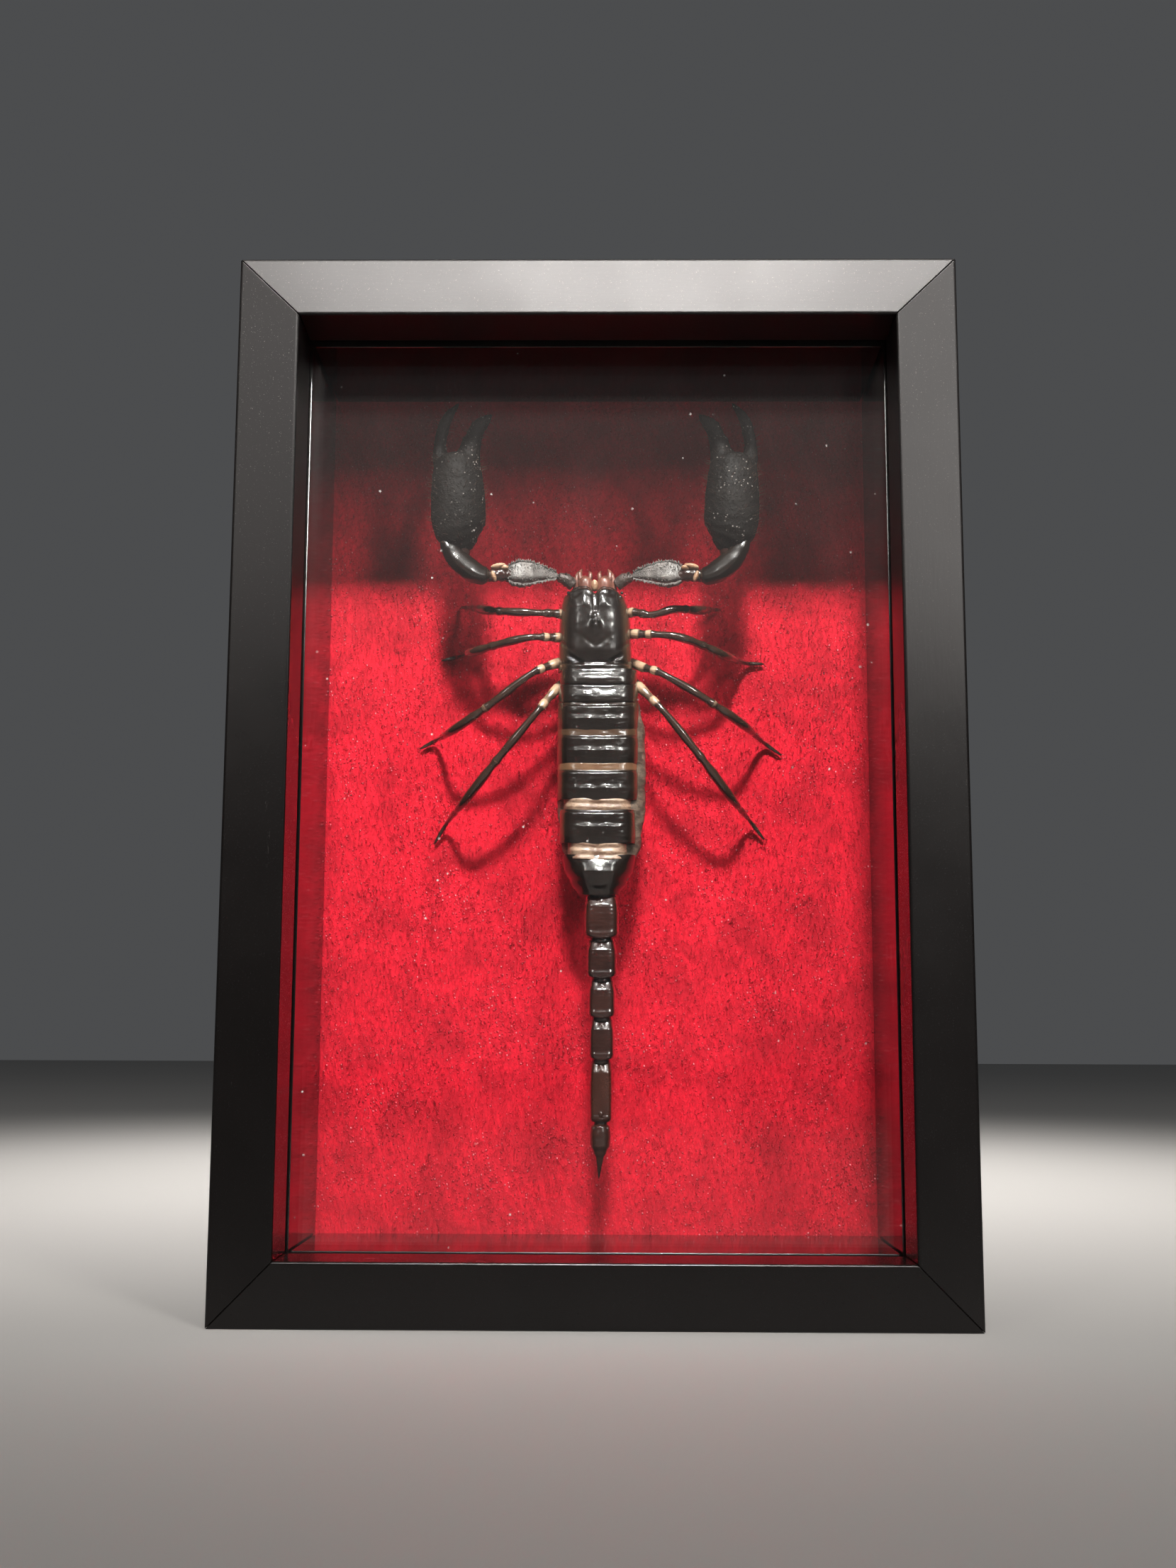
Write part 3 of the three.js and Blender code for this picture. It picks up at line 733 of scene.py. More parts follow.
def pile_nodes(density, length, seed):
    """Geometry nodes that plant short leaning blades on the cloth's front and make them real"""
    tree = bpy.data.node_groups.new("Pile", "GeometryNodeTree")
    tree.interface.new_socket("Geometry", in_out="INPUT", socket_type="NodeSocketGeometry")
    tree.interface.new_socket("Geometry", in_out="OUTPUT", socket_type="NodeSocketGeometry")
    nodes, links = tree.nodes, tree.links

    def add(kind, **values):
        node = nodes.new(kind)
        for key, value in values.items():
            if hasattr(node, key):
                setattr(node, key, value)
            else:
                node.inputs[key].default_value = value
        return node

    start, end = nodes.new("NodeGroupInput"), nodes.new("NodeGroupOutput")
    scatter = add("GeometryNodeDistributePointsOnFaces", Density=density, Seed=seed)
    blade = add("GeometryNodeMeshCone", fill_type="NONE", Vertices=3)
    blade.inputs["Radius Bottom"].default_value = BLADE_RADIUS
    blade.inputs["Radius Top"].default_value = 0.0
    blade.inputs["Depth"].default_value = length
    lean = add("FunctionNodeRandomValue", data_type="FLOAT_VECTOR", Seed=seed + 1)
    lean.inputs[0].default_value, lean.inputs[1].default_value = BLADE_LEAN
    grow = add("FunctionNodeRandomValue", data_type="FLOAT", Seed=seed + 2)
    grow.inputs[2].default_value, grow.inputs[3].default_value = BLADE_GROWTH
    plant = nodes.new("GeometryNodeInstanceOnPoints")
    turn = add("FunctionNodeRotateRotation", rotation_space="LOCAL")
    real = nodes.new("GeometryNodeRealizeInstances")
    links.new(start.outputs[0], scatter.inputs["Mesh"])
    links.new(scatter.outputs["Points"], plant.inputs["Points"])
    links.new(blade.outputs["Mesh"], plant.inputs["Instance"])
    links.new(scatter.outputs["Rotation"], turn.inputs["Rotation"])
    links.new(lean.outputs[0], turn.inputs["Rotate By"])
    links.new(turn.outputs[0], plant.inputs["Rotation"])
    links.new(grow.outputs[1], plant.inputs["Scale"])
    links.new(plant.outputs["Instances"], real.inputs["Geometry"])
    links.new(real.outputs["Geometry"], end.inputs[0])
    return tree


class SPECIMEN_OT_cloth(bpy.types.Operator):
    """Stretch the velvet over its board and plant its pile"""
    bl_idname = "specimen.cloth"
    bl_label = "Velvet Cloth"

    def execute(self, context):
        s = sizes()
        wide = cloth_high.x - cloth_low.x
        tall = cloth_high.z - cloth_low.z
        deep = cloth_high.y - cloth_low.y
        centre = (cloth_low + cloth_high) / 2

        def on_board(u, v):
            """The flat cut, its margins folded back round the board's edges"""
            x = (u - 0.5) * (wide + 2 * deep)
            z = (v - 0.5) * (tall + 2 * deep)
            turned = max(abs(x) - wide / 2, abs(z) - tall / 2, 0.0)
            soft = noise.noise(Vector((x, z, 0)) * 90) * SHEET_WAVES
            return Vector((max(min(x, wide / 2), -wide / 2), CLOTH_FACE + SHEET_SINK + turned + soft,
                           centre.z + max(min(z, tall / 2), -tall / 2)))

        bm = sheet_mesh(120, 170, on_board)
        bmesh.ops.remove_doubles(bm, verts=bm.verts[:], dist=0.01 * MM)
        bmesh.ops.recalc_face_normals(bm, faces=bm.faces[:])
        front = max(bm.faces, key=lambda face: face.calc_area())
        if front.normal.y > 0:
            bmesh.ops.reverse_faces(bm, faces=bm.faces[:])
        cloth = finished("velvet_sheet", bm, "velvet", ["velvet_cloth"])

        half = HALF_WIDTH - FACE_WIDTH - PILE_MARGIN
        low, high = FACE_WIDTH + PILE_MARGIN, HEIGHT - FACE_WIDTH - PILE_MARGIN
        bm = sheet_mesh(1, 1, lambda u, v: Vector((half * (2 * u - 1), CLOTH_FACE, low + (high - low) * v)))
        bmesh.ops.recalc_face_normals(bm, faces=bm.faces[:])
        bm.faces.ensure_lookup_table()
        if bm.faces[0].normal.y > 0:
            bmesh.ops.reverse_faces(bm, faces=bm.faces[:])
        pile = finished("velvet_pile", bm, "velvet", smooth=False)
        planted = pile.modifiers.new("Pile", "NODES")
        planted.node_group = pile_nodes(s.pile_density, s.pile_length, animal().seed)
        apply_modifiers(pile)
        pile.data.materials.clear()
        pile.data.materials.append(finish("velvet"))
        return {"FINISHED"}


# The animal's trunk

BODY_HEIGHT = 13.5
MIDDLE = 0.1
PLATE_WALL = 0.2


def spread_out(u, half):
    """A place across a plate, in mm from its middle, with the places closer together at the sides"""
    side = 2 * u - 1
    return half * math.copysign(1 - (1 - abs(side)) ** 1.7, side)


def arched(x, half, power, bend=0.45):
    """A flat-topped arch over a plate, 1 in its middle and 0 at its sides"""
    return max(1 - abs(x / half) ** power, 0.0) ** bend


def walled(piece, thickness=PLATE_WALL):
    """Gives an open sheet its thickness in mm, inwards"""
    wall = piece.modifiers.new("Thickness", "SOLIDIFY")
    wall.thickness = thickness * MM
    wall.offset = -1


class SPECIMEN_OT_head(bpy.types.Operator):
    """Build the head shield with its eyes, and the jaws in front of it"""
    bl_idname = "specimen.head"
    bl_label = "Head"

    REAR = 100.2
    FRONT_EDGE = 114.3
    # Swellings behind the front edge: distance from the middle, height up the frame, rise
    LOBES = [(1.9, 113.2, 0.18), (3.5, 111.9, 0.24), (1.7, 111.5, 0.24), (2.6, 112.4, -0.12),
             (4.2, 113.0, 0.14)]

    def execute(self, context):
        bm = sheet_mesh(64, 72, self.dome, mark=self.browning)
        under = Route([(-0.3, self.REAR + 0.3, BODY_HEIGHT), (-0.5, self.FRONT_EDGE - 1.4, BODY_HEIGHT)])
        limb_mesh(under, [(0, 5.7), (0.5, 5.3), (0.9, 4.4), (1, 3.4)], sides=24, rings=10, thick=0.62,
                  mesh=bm)
        shield = finished("head_shield", bm, "shell", ["carapace"], subdivisions=1)
        walled(shield, 0.25)
        self.eyes()
        for name, side in SIDES:
            self.jaw(name, side)
        return {"FINISHED"}

    def browning(self, u, v):
        """The shield turns brown at its sides"""
        return 0.35 * between([(0.70, 0), (0.95, 1)], abs(2 * u - 1))

    def dome(self, u, v):
        """u runs across and v from the rear edge to the front one"""
        across = 2 * u - 1
        half = between([(0, 6.1), (0.2, 5.95), (0.55, 5.8), (0.75, 5.5), (0.9, 5.1), (1, 4.4)], v)
        middle = between([(0, -0.3), (0.6, -0.4), (1, -0.6)], v)
        x = middle + half * across
        z = self.REAR + (self.FRONT_EDGE - self.REAR) * v
        end = between([(0.8, 0), (1, 1)], v)
        z -= (1.3 * bump_at(x, -0.35, 0.8) + 0.9 * abs(across) ** 4) * end
        rise = 4.3 * (1 - abs(across) ** 3.2) ** 0.55
        rise *= between([(0, 0.86), (0.25, 0.97), (0.5, 1)], v)
        side = x - middle
        height = BODY_HEIGHT + rise - 0.26 * max(z - 110.6, 0) - between([(0.93, 0), (1, 0.9)], v)
        return over_cloth(x, z, height + self.carving(across, side, x, z, v))

    def carving(self, across, side, x, z, v):
        """How far the dome's surface is raised or sunk, in mm"""
        groove = between([(0.62, 0), (0.68, 1), (0.9, 1)], v)
        ridge = between([(0.55, 0), (0.62, 1), (0.9, 1)], v)
        rise = -0.40 * bump_at(side, 0.15, 0.45) * groove + 0.16 * bump_at(side, 0.15, 0.22) * ridge
        eye_mound = 0.75 * bump_at(side, 0.2, 0.75) * bump_at(z, 107.2, 0.95)
        rise += eye_mound + 0.25 * bump_at(side, -0.2, 0.35) * bump_at(z, 108.8, 0.35)
        forked = between([(0.22, 0), (0.30, 1), (0.33, 1), (0.44, 0)], v)
        rise -= 0.12 * bump_at(abs(side - 0.2), (z - 103.6) * 1.1, 0.60) * forked
        for bump_x, bump_z, size in self.LOBES:
            rise += size * bump_at(abs(side - 0.1), bump_x, 0.85) * bump_at(z, bump_z, 0.80)
        furrow = between([(0.28, 0), (0.42, 1), (0.62, 1), (0.8, 0)], abs(across))
        rise -= 0.55 * furrow * bump_at(z, 101.3 + 0.55 * (abs(side) - 2.2), 0.34)
        rise -= 0.32 * bump_at(z, 104.9 - 0.8 * (5.6 - abs(side)), 0.34) * bump_at(abs(side), 4.9, 0.9)
        rise -= 0.35 * bump_at(z, 101.3, 0.25)
        rough = between([(0.7, 0.4), (0.9, 1.7)], v)
        return rise + 0.10 * rough * noise.noise(Vector((x * 1.1, z * 1.1, 3.0)))

    def eyes(self):
        """Two on the mound and three at each front corner"""
        bm = bmesh.new()
        for side in (-1, 1):
            ball(bm, over_cloth(-0.15 + side * 0.42, 107.9, BODY_HEIGHT + 4.75), (0.33, 0.33, 0.4))
            for i in range(3):
                x, z = -0.35 + side * (4.35 - 0.25 * i), 113.0 - 0.75 * i
                ball(bm, over_cloth(x, z, BODY_HEIGHT + 2.6), (0.26, 0.3, 0.26), 6, 8)
        finished("eye_beads", bm, "shell")

    def jaw(self, name, side):
        """A short limb with two fingers, and the spine beside it"""
        def route(*points):
            return Route([(x, self.FRONT_EDGE + ahead, BODY_HEIGHT + height) for x, ahead, height in points])
        x = -0.4 + side * 1.45
        limb = route((x, -1.6, 0.8), (x + side * 0.1, 0.6, 1.2), (x + side * 0.25, 1.9, 0.8))
        bm = limb_mesh(limb, [(0, 1.0), (0.3, 1.3), (0.7, 1.25), (1, 0.45)], rings=16)
        for finger, reach, thick in ((-side * 0.55, 2.9, 0.42), (side * 0.8, 3.3, 0.5)):
            tip = route((x + finger, 1.2, 1.0), (x + finger * 1.3, 2.3, 0.9), (x + finger * 0.8, reach, 0.5))
            limb_mesh(tip, [(0, thick), (0.5, thick * 0.9), (1, 0.1)], sides=10, rings=10, mesh=bm)
        foot = -0.45 + side * 3.0
        spine = route((foot, -1.2, 0), (foot, 1.4, 0.6), (-0.45 + side * 2.7, 2.9, 0.4))
        limb_mesh(spine, [(0, 0.8), (0.4, 0.55), (0.8, 0.38), (1, 0.08)], sides=12, rings=14, mesh=bm)
        finished("jaw_" + name, bm, "jaw", ["chelicera_" + name], subdivisions=1)


PLATES = [
    # front, rear, half width, how far back the ridge and the twin swellings lie, how brown the front band
    # is, and for a plate without a ridge, how much higher its rear is
    (100.1, 97.5, 6.35, 0.0, 0.0, 0.0, 0.36),
    (97.5, 94.6, 6.5, 0.0, 0.0, 0.0, 0.30),
    (94.9, 90.0, 6.6, 1.0, 2.9, 0.12),
    (90.3, 84.6, 6.65, 1.5, 3.5, 0.25),
    (84.7, 78.8, 6.6, 1.5, 4.0, 0.65),
    (77.2, 71.8, 6.2, 0.5, 2.7, 0.0),
]
PLATE_RISE = 4.45


def back_plate(front, rear, half, ridge, twins, brown, lean=0.0):
    """The mesh of one plate of the back: flat across with rounded sides, a low band and a ridge in front,
    twin swellings, then a slope down to the rear edge. The first two plates lean up instead"""
    length = front - rear
    if twins:
        slope = [(0, -0.48), (ridge - 0.35, -0.42), (ridge + 0.15, -0.08), (twins - 0.6, -0.10),
                 (twins + 0.1, -0.03), (length - 1.1, -0.12), (length - 0.25, -0.42), (length, -0.56)]
    else:
        slope = [(0, -0.48), (0.35, -0.40), (length - 0.9, lean - 0.40), (length - 0.4, lean - 0.40),
                 (length - 0.1, -0.16), (length, -0.32)]

    def browning(u, v):
        """How brown the plate is: along its front band and at its sides"""
        in_front = between([(ridge - 0.6, 1), (ridge - 0.2, 0)], length * (1 - v)) if twins else 0.0
        return min(brown * in_front + 0.40 * between([(0.60, 0), (0.9, 1)], abs(2 * u - 1)), 1.0)

    def place(u, v):
        back = length * (1 - v)
        x = spread_out(u, half)
        height = PLATE_RISE * arched(x, half, 5.5) + between(slope, back)
        if twins:
            for twin in (-1.48, 1.48):
                height += 0.24 * bump_at(x, twin, 0.85) * bump_at(back, twins, 0.46)
            keels = bump_at(x, -1.15, 0.20) + bump_at(x, 1.15, 0.20)
            height += 0.08 * keels * bump_at(back, (ridge + twins) / 2, 0.5)
            height -= 0.06 * bump_at(x, 0, 0.7) * bump_at(back, twins + 0.1, 0.9)
            height -= 0.12 * bump_at(abs(x), 4.6, 0.8) * bump_at(back, twins, 1.0)
        height += 0.05 * noise.noise(Vector((x * 0.9, rear + back * 1.4, half))) - 0.011 * x * x
        height += 0.03 * noise.noise(Vector((x * 2.3, rear + back * 3.0, 7 + half)))
        bow = 0.35 * (x / half) ** 2
        return over_cloth(MIDDLE + 0.1 + x, front - back + bow, BODY_HEIGHT + height)
    return sheet_mesh(56, 40, place, mark=browning)


def last_plate(u, v):
    """The seventh plate: a rounded cup that narrows to the tail"""
    length, slope_end = 6.3, 2.5
    back = length * (1 - v)
    half = between([(0, 5.9), (2.0, 5.6), (4.4, 4.5), (length, 3.3)], back)
    x = spread_out(u, half)
    arch = arched(x, half, between([(0, 5.0), (2.2, 3.0), (length, 2.2)], back), 0.5)
    rise = 3.62 + 0.31 * min(back, slope_end) - between([(slope_end, 0), (length, 1.35)], back)
    height = rise * arch - 0.02 * x * x * min(back, slope_end)
    height += 0.36 * bump_at(x, 0.1, 0.85) * bump_at(back, 4.7, 0.45)
    height += 0.10 * (bump_at(abs(x), 2.4, 0.5) - bump_at(abs(x), 1.3, 0.5)) * bump_at(back, 3.4, 1.4)
    height += 0.04 * noise.noise(Vector((x * 1.2, back * 1.2, 31.0)))
    return over_cloth(MIDDLE + 0.25 + x, 70.0 - back + 0.3 * (x / half) ** 2, BODY_HEIGHT + height)


def band(front, rear, half, rise, seed):
    """Creased skin in a gap between two plates"""
    def place(u, v):
        x = spread_out(u, half)
        fold = 0.11 * math.sin(v * 17 + 1.5 * u) + 0.07 * noise.noise(Vector((u * 13, v * 6, seed)))
        dip = 0.22 * bump_at(x, -0.3, 0.5)
        return over_cloth(MIDDLE + 0.1 + x, rear + (front - rear) * v + 0.3 * (x / half) ** 2,
                          BODY_HEIGHT + rise * arched(x, half, 5) + fold - dip)
    return place


class SPECIMEN_OT_trunk(bpy.types.Operator):
    """Build the seven back plates and the skin and belly under them"""
    bl_idname = "specimen.trunk"
    bl_label = "Trunk"

    def execute(self, context):
        plates = [back_plate(*plate) for plate in PLATES] + [sheet_mesh(56, 36, last_plate)]
        for number, bm in enumerate(plates, 1):
            walled(finished(f"back_plate_{number}", bm, "shell", ["abdomen"],
                            subdivisions=1))

        low = BODY_HEIGHT - 0.9
        spine = Route([(0.1, 101, low), (0.75, 90, low), (0.75, 78, low), (0.6, 64.3, BODY_HEIGHT - 0.4)])

        def creases(share, angle):
            fold = 0.006 * math.sin(share * 150 + 2 * math.sin(angle * 3))
            return 1 + fold + 0.030 * tube_noise(share, angle, 16, 2)
        profile = [(0, 5.2), (0.2, 6.5), (0.3, 7.05), (0.62, 7.1), (0.78, 6.4), (0.93, 4.5), (1, 2.8)]
        skin = limb_mesh(spine, profile, sides=56, rings=120, thick=0.56, relief=creases)
        finished("side_skin", skin, "side_skin")

        bm = sheet_mesh(36, 16, band(79.4, 76.4, 5.6, 3.95, 3.0))
        sheet_mesh(36, 16, band(72.4, 69.3, 4.9, 3.85, 9.0), bm)
        walled(finished("cream_bands", bm, "band_skin", subdivisions=1))

        bm = bmesh.new()
        for i in range(5):
            rear = 68.0 + 5.6 * i

            def belly(u, v, rear=rear):
                angle = (1 - 2 * u) * math.radians(60)
                return over_cloth(MIDDLE + 0.4 + 6.0 * math.sin(angle), rear + 5.9 * v,
                                  BODY_HEIGHT - 1.1 - (3.85 + 0.2 * (1 - v)) * math.cos(angle))
            sheet_mesh(24, 6, belly, bm)
        walled(finished("belly_plates", bm, "shell", subdivisions=1))
        return {"FINISHED"}


# The tail

TAIL_HEIGHT = 13.5
TAIL = [
    # front, rear, half width in front and behind, and middle
    (64.1, 57.0, 2.75, 2.90, 0.80),
    (57.0, 50.7, 2.35, 2.50, 0.85),
    (50.7, 44.5, 2.05, 2.20, 0.90),
    (44.5, 37.9, 1.90, 2.00, 0.90),
    (37.9, 28.1, 1.75, 1.80, 0.80),
]


def keels(share, angle):
    """Eight beaded ridges round a tail segment, as a share of its radius"""
    wave = abs(math.cos(angle * 4)) ** 3
    fade = between([(0, 0.2), (0.15, 1), (0.9, 1), (1, 0.4)], share)
    return 0.025 * wave * fade * (1 + 0.25 * math.sin(share * 70))


def squared(angle, power):
    """How far a square with round corners reaches at an angle, as a factor on its radius"""
    return (abs(math.cos(angle)) ** power + abs(math.sin(angle)) ** power) ** (-1 / power)


class SPECIMEN_OT_tail(bpy.types.Operator):
    """Build the five tail segments, the sting and the skin between them"""
    bl_idname = "specimen.tail"
    bl_label = "Tail"

    def execute(self, context):
        for number, row in enumerate(TAIL, 1):
            self.segment(number, *row)
        self.joints()
        self.sting()
        return {"FINISHED"}

    def segment(self, number, front, rear, near, far, middle):
        route = Route([(middle, front - 0.1, TAIL_HEIGHT), (middle, rear + 0.1, TAIL_HEIGHT)])
        length = front - rear
        last = number == len(TAIL)

        def relief(share, angle):
            """Flat above with rounded sides, a groove along the middle, a front slope that is steepest at its
            corners, and a raised lip behind"""
            aside = abs(angle - math.pi / 2)
            back = share * length
            groove = bump_at(aside, 0, 0.16) * between([(0.1, 0), (0.2, 1), (0.9, 1), (1, 0)], share)
            slope = (0.46 - 0.34 * bump_at(aside, 0, 0.30)) * max(1.7 - back, 0) / near
            lip = 0.17 / near * bump_at(back, length - 0.8, 0.30)
            carved = (lip - slope - 0.035 * groove) * bump_at(aside, 0, 1.2)
            grain = 0.010 * tube_noise(share, angle, 14, 4)
            return 0.94 * squared(angle, 3.4) * (1 + keels(share, angle) + carved + grain)

        def crescent(share, angle):
            """The front edge is hollowed above and the rear edge bulges into the next one"""
            behind = 0 if last else 0.45 * between([(0.7, 0), (1, 1)], share)
            return bump_at(angle, math.pi / 2, 0.60) * (0.55 * between([(0, 1), (0.35, 0)], share) + behind)
        profile = [(0, near * 0.84), (0.3 / length, near), (0.5, (near + far) / 2 * 1.03), (0.8, far),
                   (0.95, far * 0.97), (1, far * 0.84)]
        bm = limb_mesh(route, profile, sides=44, rings=44, thick=0.94, relief=relief, slide=crescent)
        if last:
            ball(bm, over_cloth(middle, rear + 1.4, TAIL_HEIGHT + far * 0.86), (0.42, 0.34, 0.55))
        look, slot = ("sting", "shell_brown") if last else ("tail", "shell_black")
        finished(f"tail_ring_{number}", bm, look, [f"tail_segment_{number}"], subdivisions=1)

    def joints(self):
        """The skin in front of each segment and behind the last one"""
        bm = bmesh.new()
        for front, rear, near, far, middle in TAIL:
            height = TAIL_HEIGHT + 0.1
            joint = Route([(middle, front + 0.8, height), (middle, front - 1.1, height)])
            limb_mesh(joint, [(0, near * 0.60), (0.35, near * 0.80), (0.65, near * 0.84), (1, near * 0.6)],
                      sides=24, rings=12, mesh=bm)
        joint = Route([(middle, rear + 0.7, TAIL_HEIGHT), (middle, rear - 0.7, TAIL_HEIGHT)])
        limb_mesh(joint, [(0, 1.0), (0.5, 1.1), (1, 0.9)], sides=20, rings=8, mesh=bm)
        finished("tail_joints", bm, "shell", subdivisions=1)

    def sting(self):
        """The bulb with its curved point, and a knob at each side of its neck"""
        route = Route([(0.75, 28.0, TAIL_HEIGHT), (0.7, 24.6, TAIL_HEIGHT), (0.62, 22.2, TAIL_HEIGHT - 0.2),
                       (0.55, 20.6, TAIL_HEIGHT - 0.9), (0.5, 19.3, TAIL_HEIGHT - 2.0)])
        profile = [(0, 1.0), (0.05, 1.5), (0.2, 1.62), (0.36, 1.55), (0.48, 1.05), (0.58, 0.6), (0.75, 0.36),
                   (0.9, 0.20), (1, 0.04)]
        bm = limb_mesh(route, profile, sides=28, rings=44,
                       relief=lambda share, angle: 1 + 0.04 * tube_noise(share, angle, 16, 3))
        for side in (-1, 1):
            ball(bm, over_cloth(0.75 + side * 1.05, 27.2, TAIL_HEIGHT + 0.95), (0.3, 0.3, 0.42))
        finished("sting", bm, "sting", ["stinger"], subdivisions=1)


# The arms and claws

ARM_MIDDLE = -0.4
VOXEL = 0.2 * MM


def mirrored(side, points):
    """A route on one side of the arms' middle"""
    return Route([(ARM_MIDDLE + side * x, z, height) for x, z, height in points])


def hairs(bm, route, profile, count, seed, thick=1.0, length=(0.5, 1.4), radius=0.035, lean=0.5):
    """Bristles standing on a limb, leaning towards its tip"""
    pick = random.Random(seed)
    for _ in range(count):
        share = pick.uniform(0.05, 0.97)
        angle = pick.uniform(-math.pi, math.pi)
        point, along, side, out = route.at(share)
        size = between(profile, share) * MM * 0.97
        away = side * math.cos(angle) + out * math.sin(angle) * thick
        spike(bm, point + away * size, away.normalized() + along * pick.uniform(0.2, 1.0) * lean,
              radius, pick.uniform(*length))


class SPECIMEN_OT_arms(bpy.types.Operator):
    """Build both arms with their pebbled palms and toothed fingers"""
    bl_idname = "specimen.arms"
    bl_label = "Arms and Claws"

    def execute(self, context):
        for name, side in SIDES:
            self.femur(name, side)
            self.patella(name, side)
            self.claw(name, side)
        return {"FINISHED"}

    def femur(self, name, side):
        """The upper arm: a flat-topped club whose face leans up, its keels set with teeth"""
        route = mirrored(side, [(6.2, 116.1, 15.2), (10.0, 116.0, 16.6), (14.6, 115.5, 18.0)])
        profile = [(0, 0.45), (0.15, 0.85), (0.35, 1.45), (0.55, 1.95), (0.7, 2.10), (0.85, 1.80),
                   (0.95, 1.25), (1, 0.7)]
        lean = -0.26 * side

        def relief(share, angle):
            return 0.86 * squared(angle - lean, 5) + 0.09 * tube_noise(share, angle, 24, 5)
        bm = limb_mesh(route, profile, sides=36, rings=44, thick=0.85, relief=relief)
        pick = random.Random(animal().seed + side)
        teeth = 44
        for i in range(teeth):
            share = 0.03 + 0.92 * i / (teeth - 1)
            point, along, across, out = route.at(share)
            size = between(profile, share) * MM
            for edge in (-1, 1):
                foot = point + across * (edge * size * 0.88) + out * (size * 0.45)
                spike(bm, foot, across * edge + out * 0.5 + along * pick.uniform(-0.3, 0.3),
                      0.16, pick.uniform(0.30, 0.65), sides=5)
        for _ in range(150):
            share = pick.uniform(0.05, 0.97)
            point, along, across, out = route.at(share)
            size = between(profile, share) * MM
            foot = point + across * (size * pick.uniform(-0.8, 0.8)) + out * (size * 0.74)
            ball(bm, foot, (0.10, 0.10, 0.10), 5, 6)
        finished("arm_upper_" + name, bm, "femur", ["arm_femur_" + name])

        hip = mirrored(side, [(3.6, 114.9, 13.9), (4.8, 115.7, 14.4), (6.3, 116.0, 15.0)])

        def lumpy(share, angle):
            return 1 + 0.12 * noise.noise(Vector((share * 7, angle * 2, side)))
        bm = limb_mesh(hip, [(0, 1.0), (0.4, 1.05), (0.8, 0.80), (1, 0.40)], sides=20, rings=18, relief=lumpy)
        for _ in range(14):
            point, along, across, out = hip.at(pick.uniform(0.25, 0.95))
            spike(bm, point + out * 0.6 * MM + across * pick.uniform(-0.8, 0.8) * MM,
                  out + across * pick.uniform(-0.6, 0.9), 0.12, pick.uniform(0.4, 0.8), sides=5)
        finished("hip_" + name, bm, "hip", ["arm_hip_" + name])

    def patella(self, name, side):
        """The middle arm, smooth and shiny with one keel, bending up to the claw"""
        route = mirrored(side, [(17.0, 115.0, 18.3), (18.9, 115.4, 18.9), (20.7, 116.4, 19.2),
                                (22.3, 117.9, 19.4), (23.6, 119.9, 19.7), (24.1, 121.3, 19.8)])
        profile = [(0, 0.9), (0.1, 1.55), (0.35, 1.90), (0.55, 1.90), (0.8, 1.55), (0.95, 1.2), (1, 0.7)]

        def relief(share, angle):
            ridge = 0.16 * bump_at(angle - math.pi / 2, 0.30 * side, 0.30)
            return 1 + ridge + 0.02 * tube_noise(share, angle, 12, 3)
        bm = limb_mesh(route, profile, sides=28, rings=32, thick=0.95, relief=relief)
        finished("arm_middle_" + name, bm, "shell", ["arm_patella_" + name],
                 subdivisions=1)

    def claw(self, name, side):
        """The pebbled palm with its fixed finger, the moving finger and their hairs"""
        palm = mirrored(side, [(20.3, 119.2, 19.4), (21.8, 122.6, 19.6), (22.2, 128, 19.8),
                               (22.5, 135.4, 19.5)])
        palm_profile = [(0, 0.7), (0.06, 2.0), (0.14, 3.5), (0.22, 4.2), (0.35, 4.45), (0.55, 4.4),
                        (0.72, 4.15), (0.88, 3.8), (0.95, 3.2), (0.98, 2.4), (1, 1.2)]
        fixed = mirrored(side, [(21.4, 129.5, 19.5), (20.7, 134.5, 19.5), (20.0, 137.4, 19.4),
                                (19.1, 139.8, 19.3), (16.9, 142.2, 19.0)])
        fixed_profile = [(0, 2.2), (0.35, 2.05), (0.5, 1.65), (0.65, 1.32), (0.82, 1.15), (0.93, 0.7),
                         (1, 0.12)]
        moving = mirrored(side, [(24.3, 131.0, 19.4), (25.3, 135.6, 19.4), (25.1, 138.4, 19.3),
                                 (24.3, 141.4, 19.1), (22.3, 144.2, 18.9)])
        moving_profile = [(0, 1.7), (0.25, 1.35), (0.4, 1.0), (0.65, 0.95), (0.82, 0.75), (0.94, 0.4),
                          (1, 0.1)]

        def pebbled(share, angle):
            place = Vector((share * 20, math.cos(angle) * 4, math.sin(angle) * 4))
            lobes = 0.010 * noise.noise(place) + 0.010 * noise.noise(place * 3.1)
            keel = bump_at(angle - math.pi / 2, -0.25 * side, 0.16) * between([(0.2, 0), (0.4, 1)], share)
            return 1 + lobes * 1.6 + 0.03 * keel
        bm = limb_mesh(palm, palm_profile, sides=56, rings=64, thick=0.72, relief=pebbled)
        limb_mesh(fixed, fixed_profile, sides=20, rings=30, thick=0.95, mesh=bm)
        self.teeth(bm, fixed, fixed_profile, side)
        self.fuse(finished("claw_palm_" + name, bm, "claw", ["claw_" + name]))

        bm = limb_mesh(moving, moving_profile, sides=20, rings=30, thick=0.95)
        self.teeth(bm, moving, moving_profile, -side)
        self.fuse(finished("claw_thumb_" + name, bm, "claw", ["claw_finger_" + name]))

        bm = bmesh.new()
        seed = animal().seed * 10 + side
        hairs(bm, palm, palm_profile, 260, seed, thick=0.72, length=(0.5, 1.6), lean=0.8)
        hairs(bm, fixed, fixed_profile, 60, seed + 3, thick=0.95)
        hairs(bm, moving, moving_profile, 60, seed + 5, thick=0.95)
        finished("claw_hairs_" + name, bm, "hair")

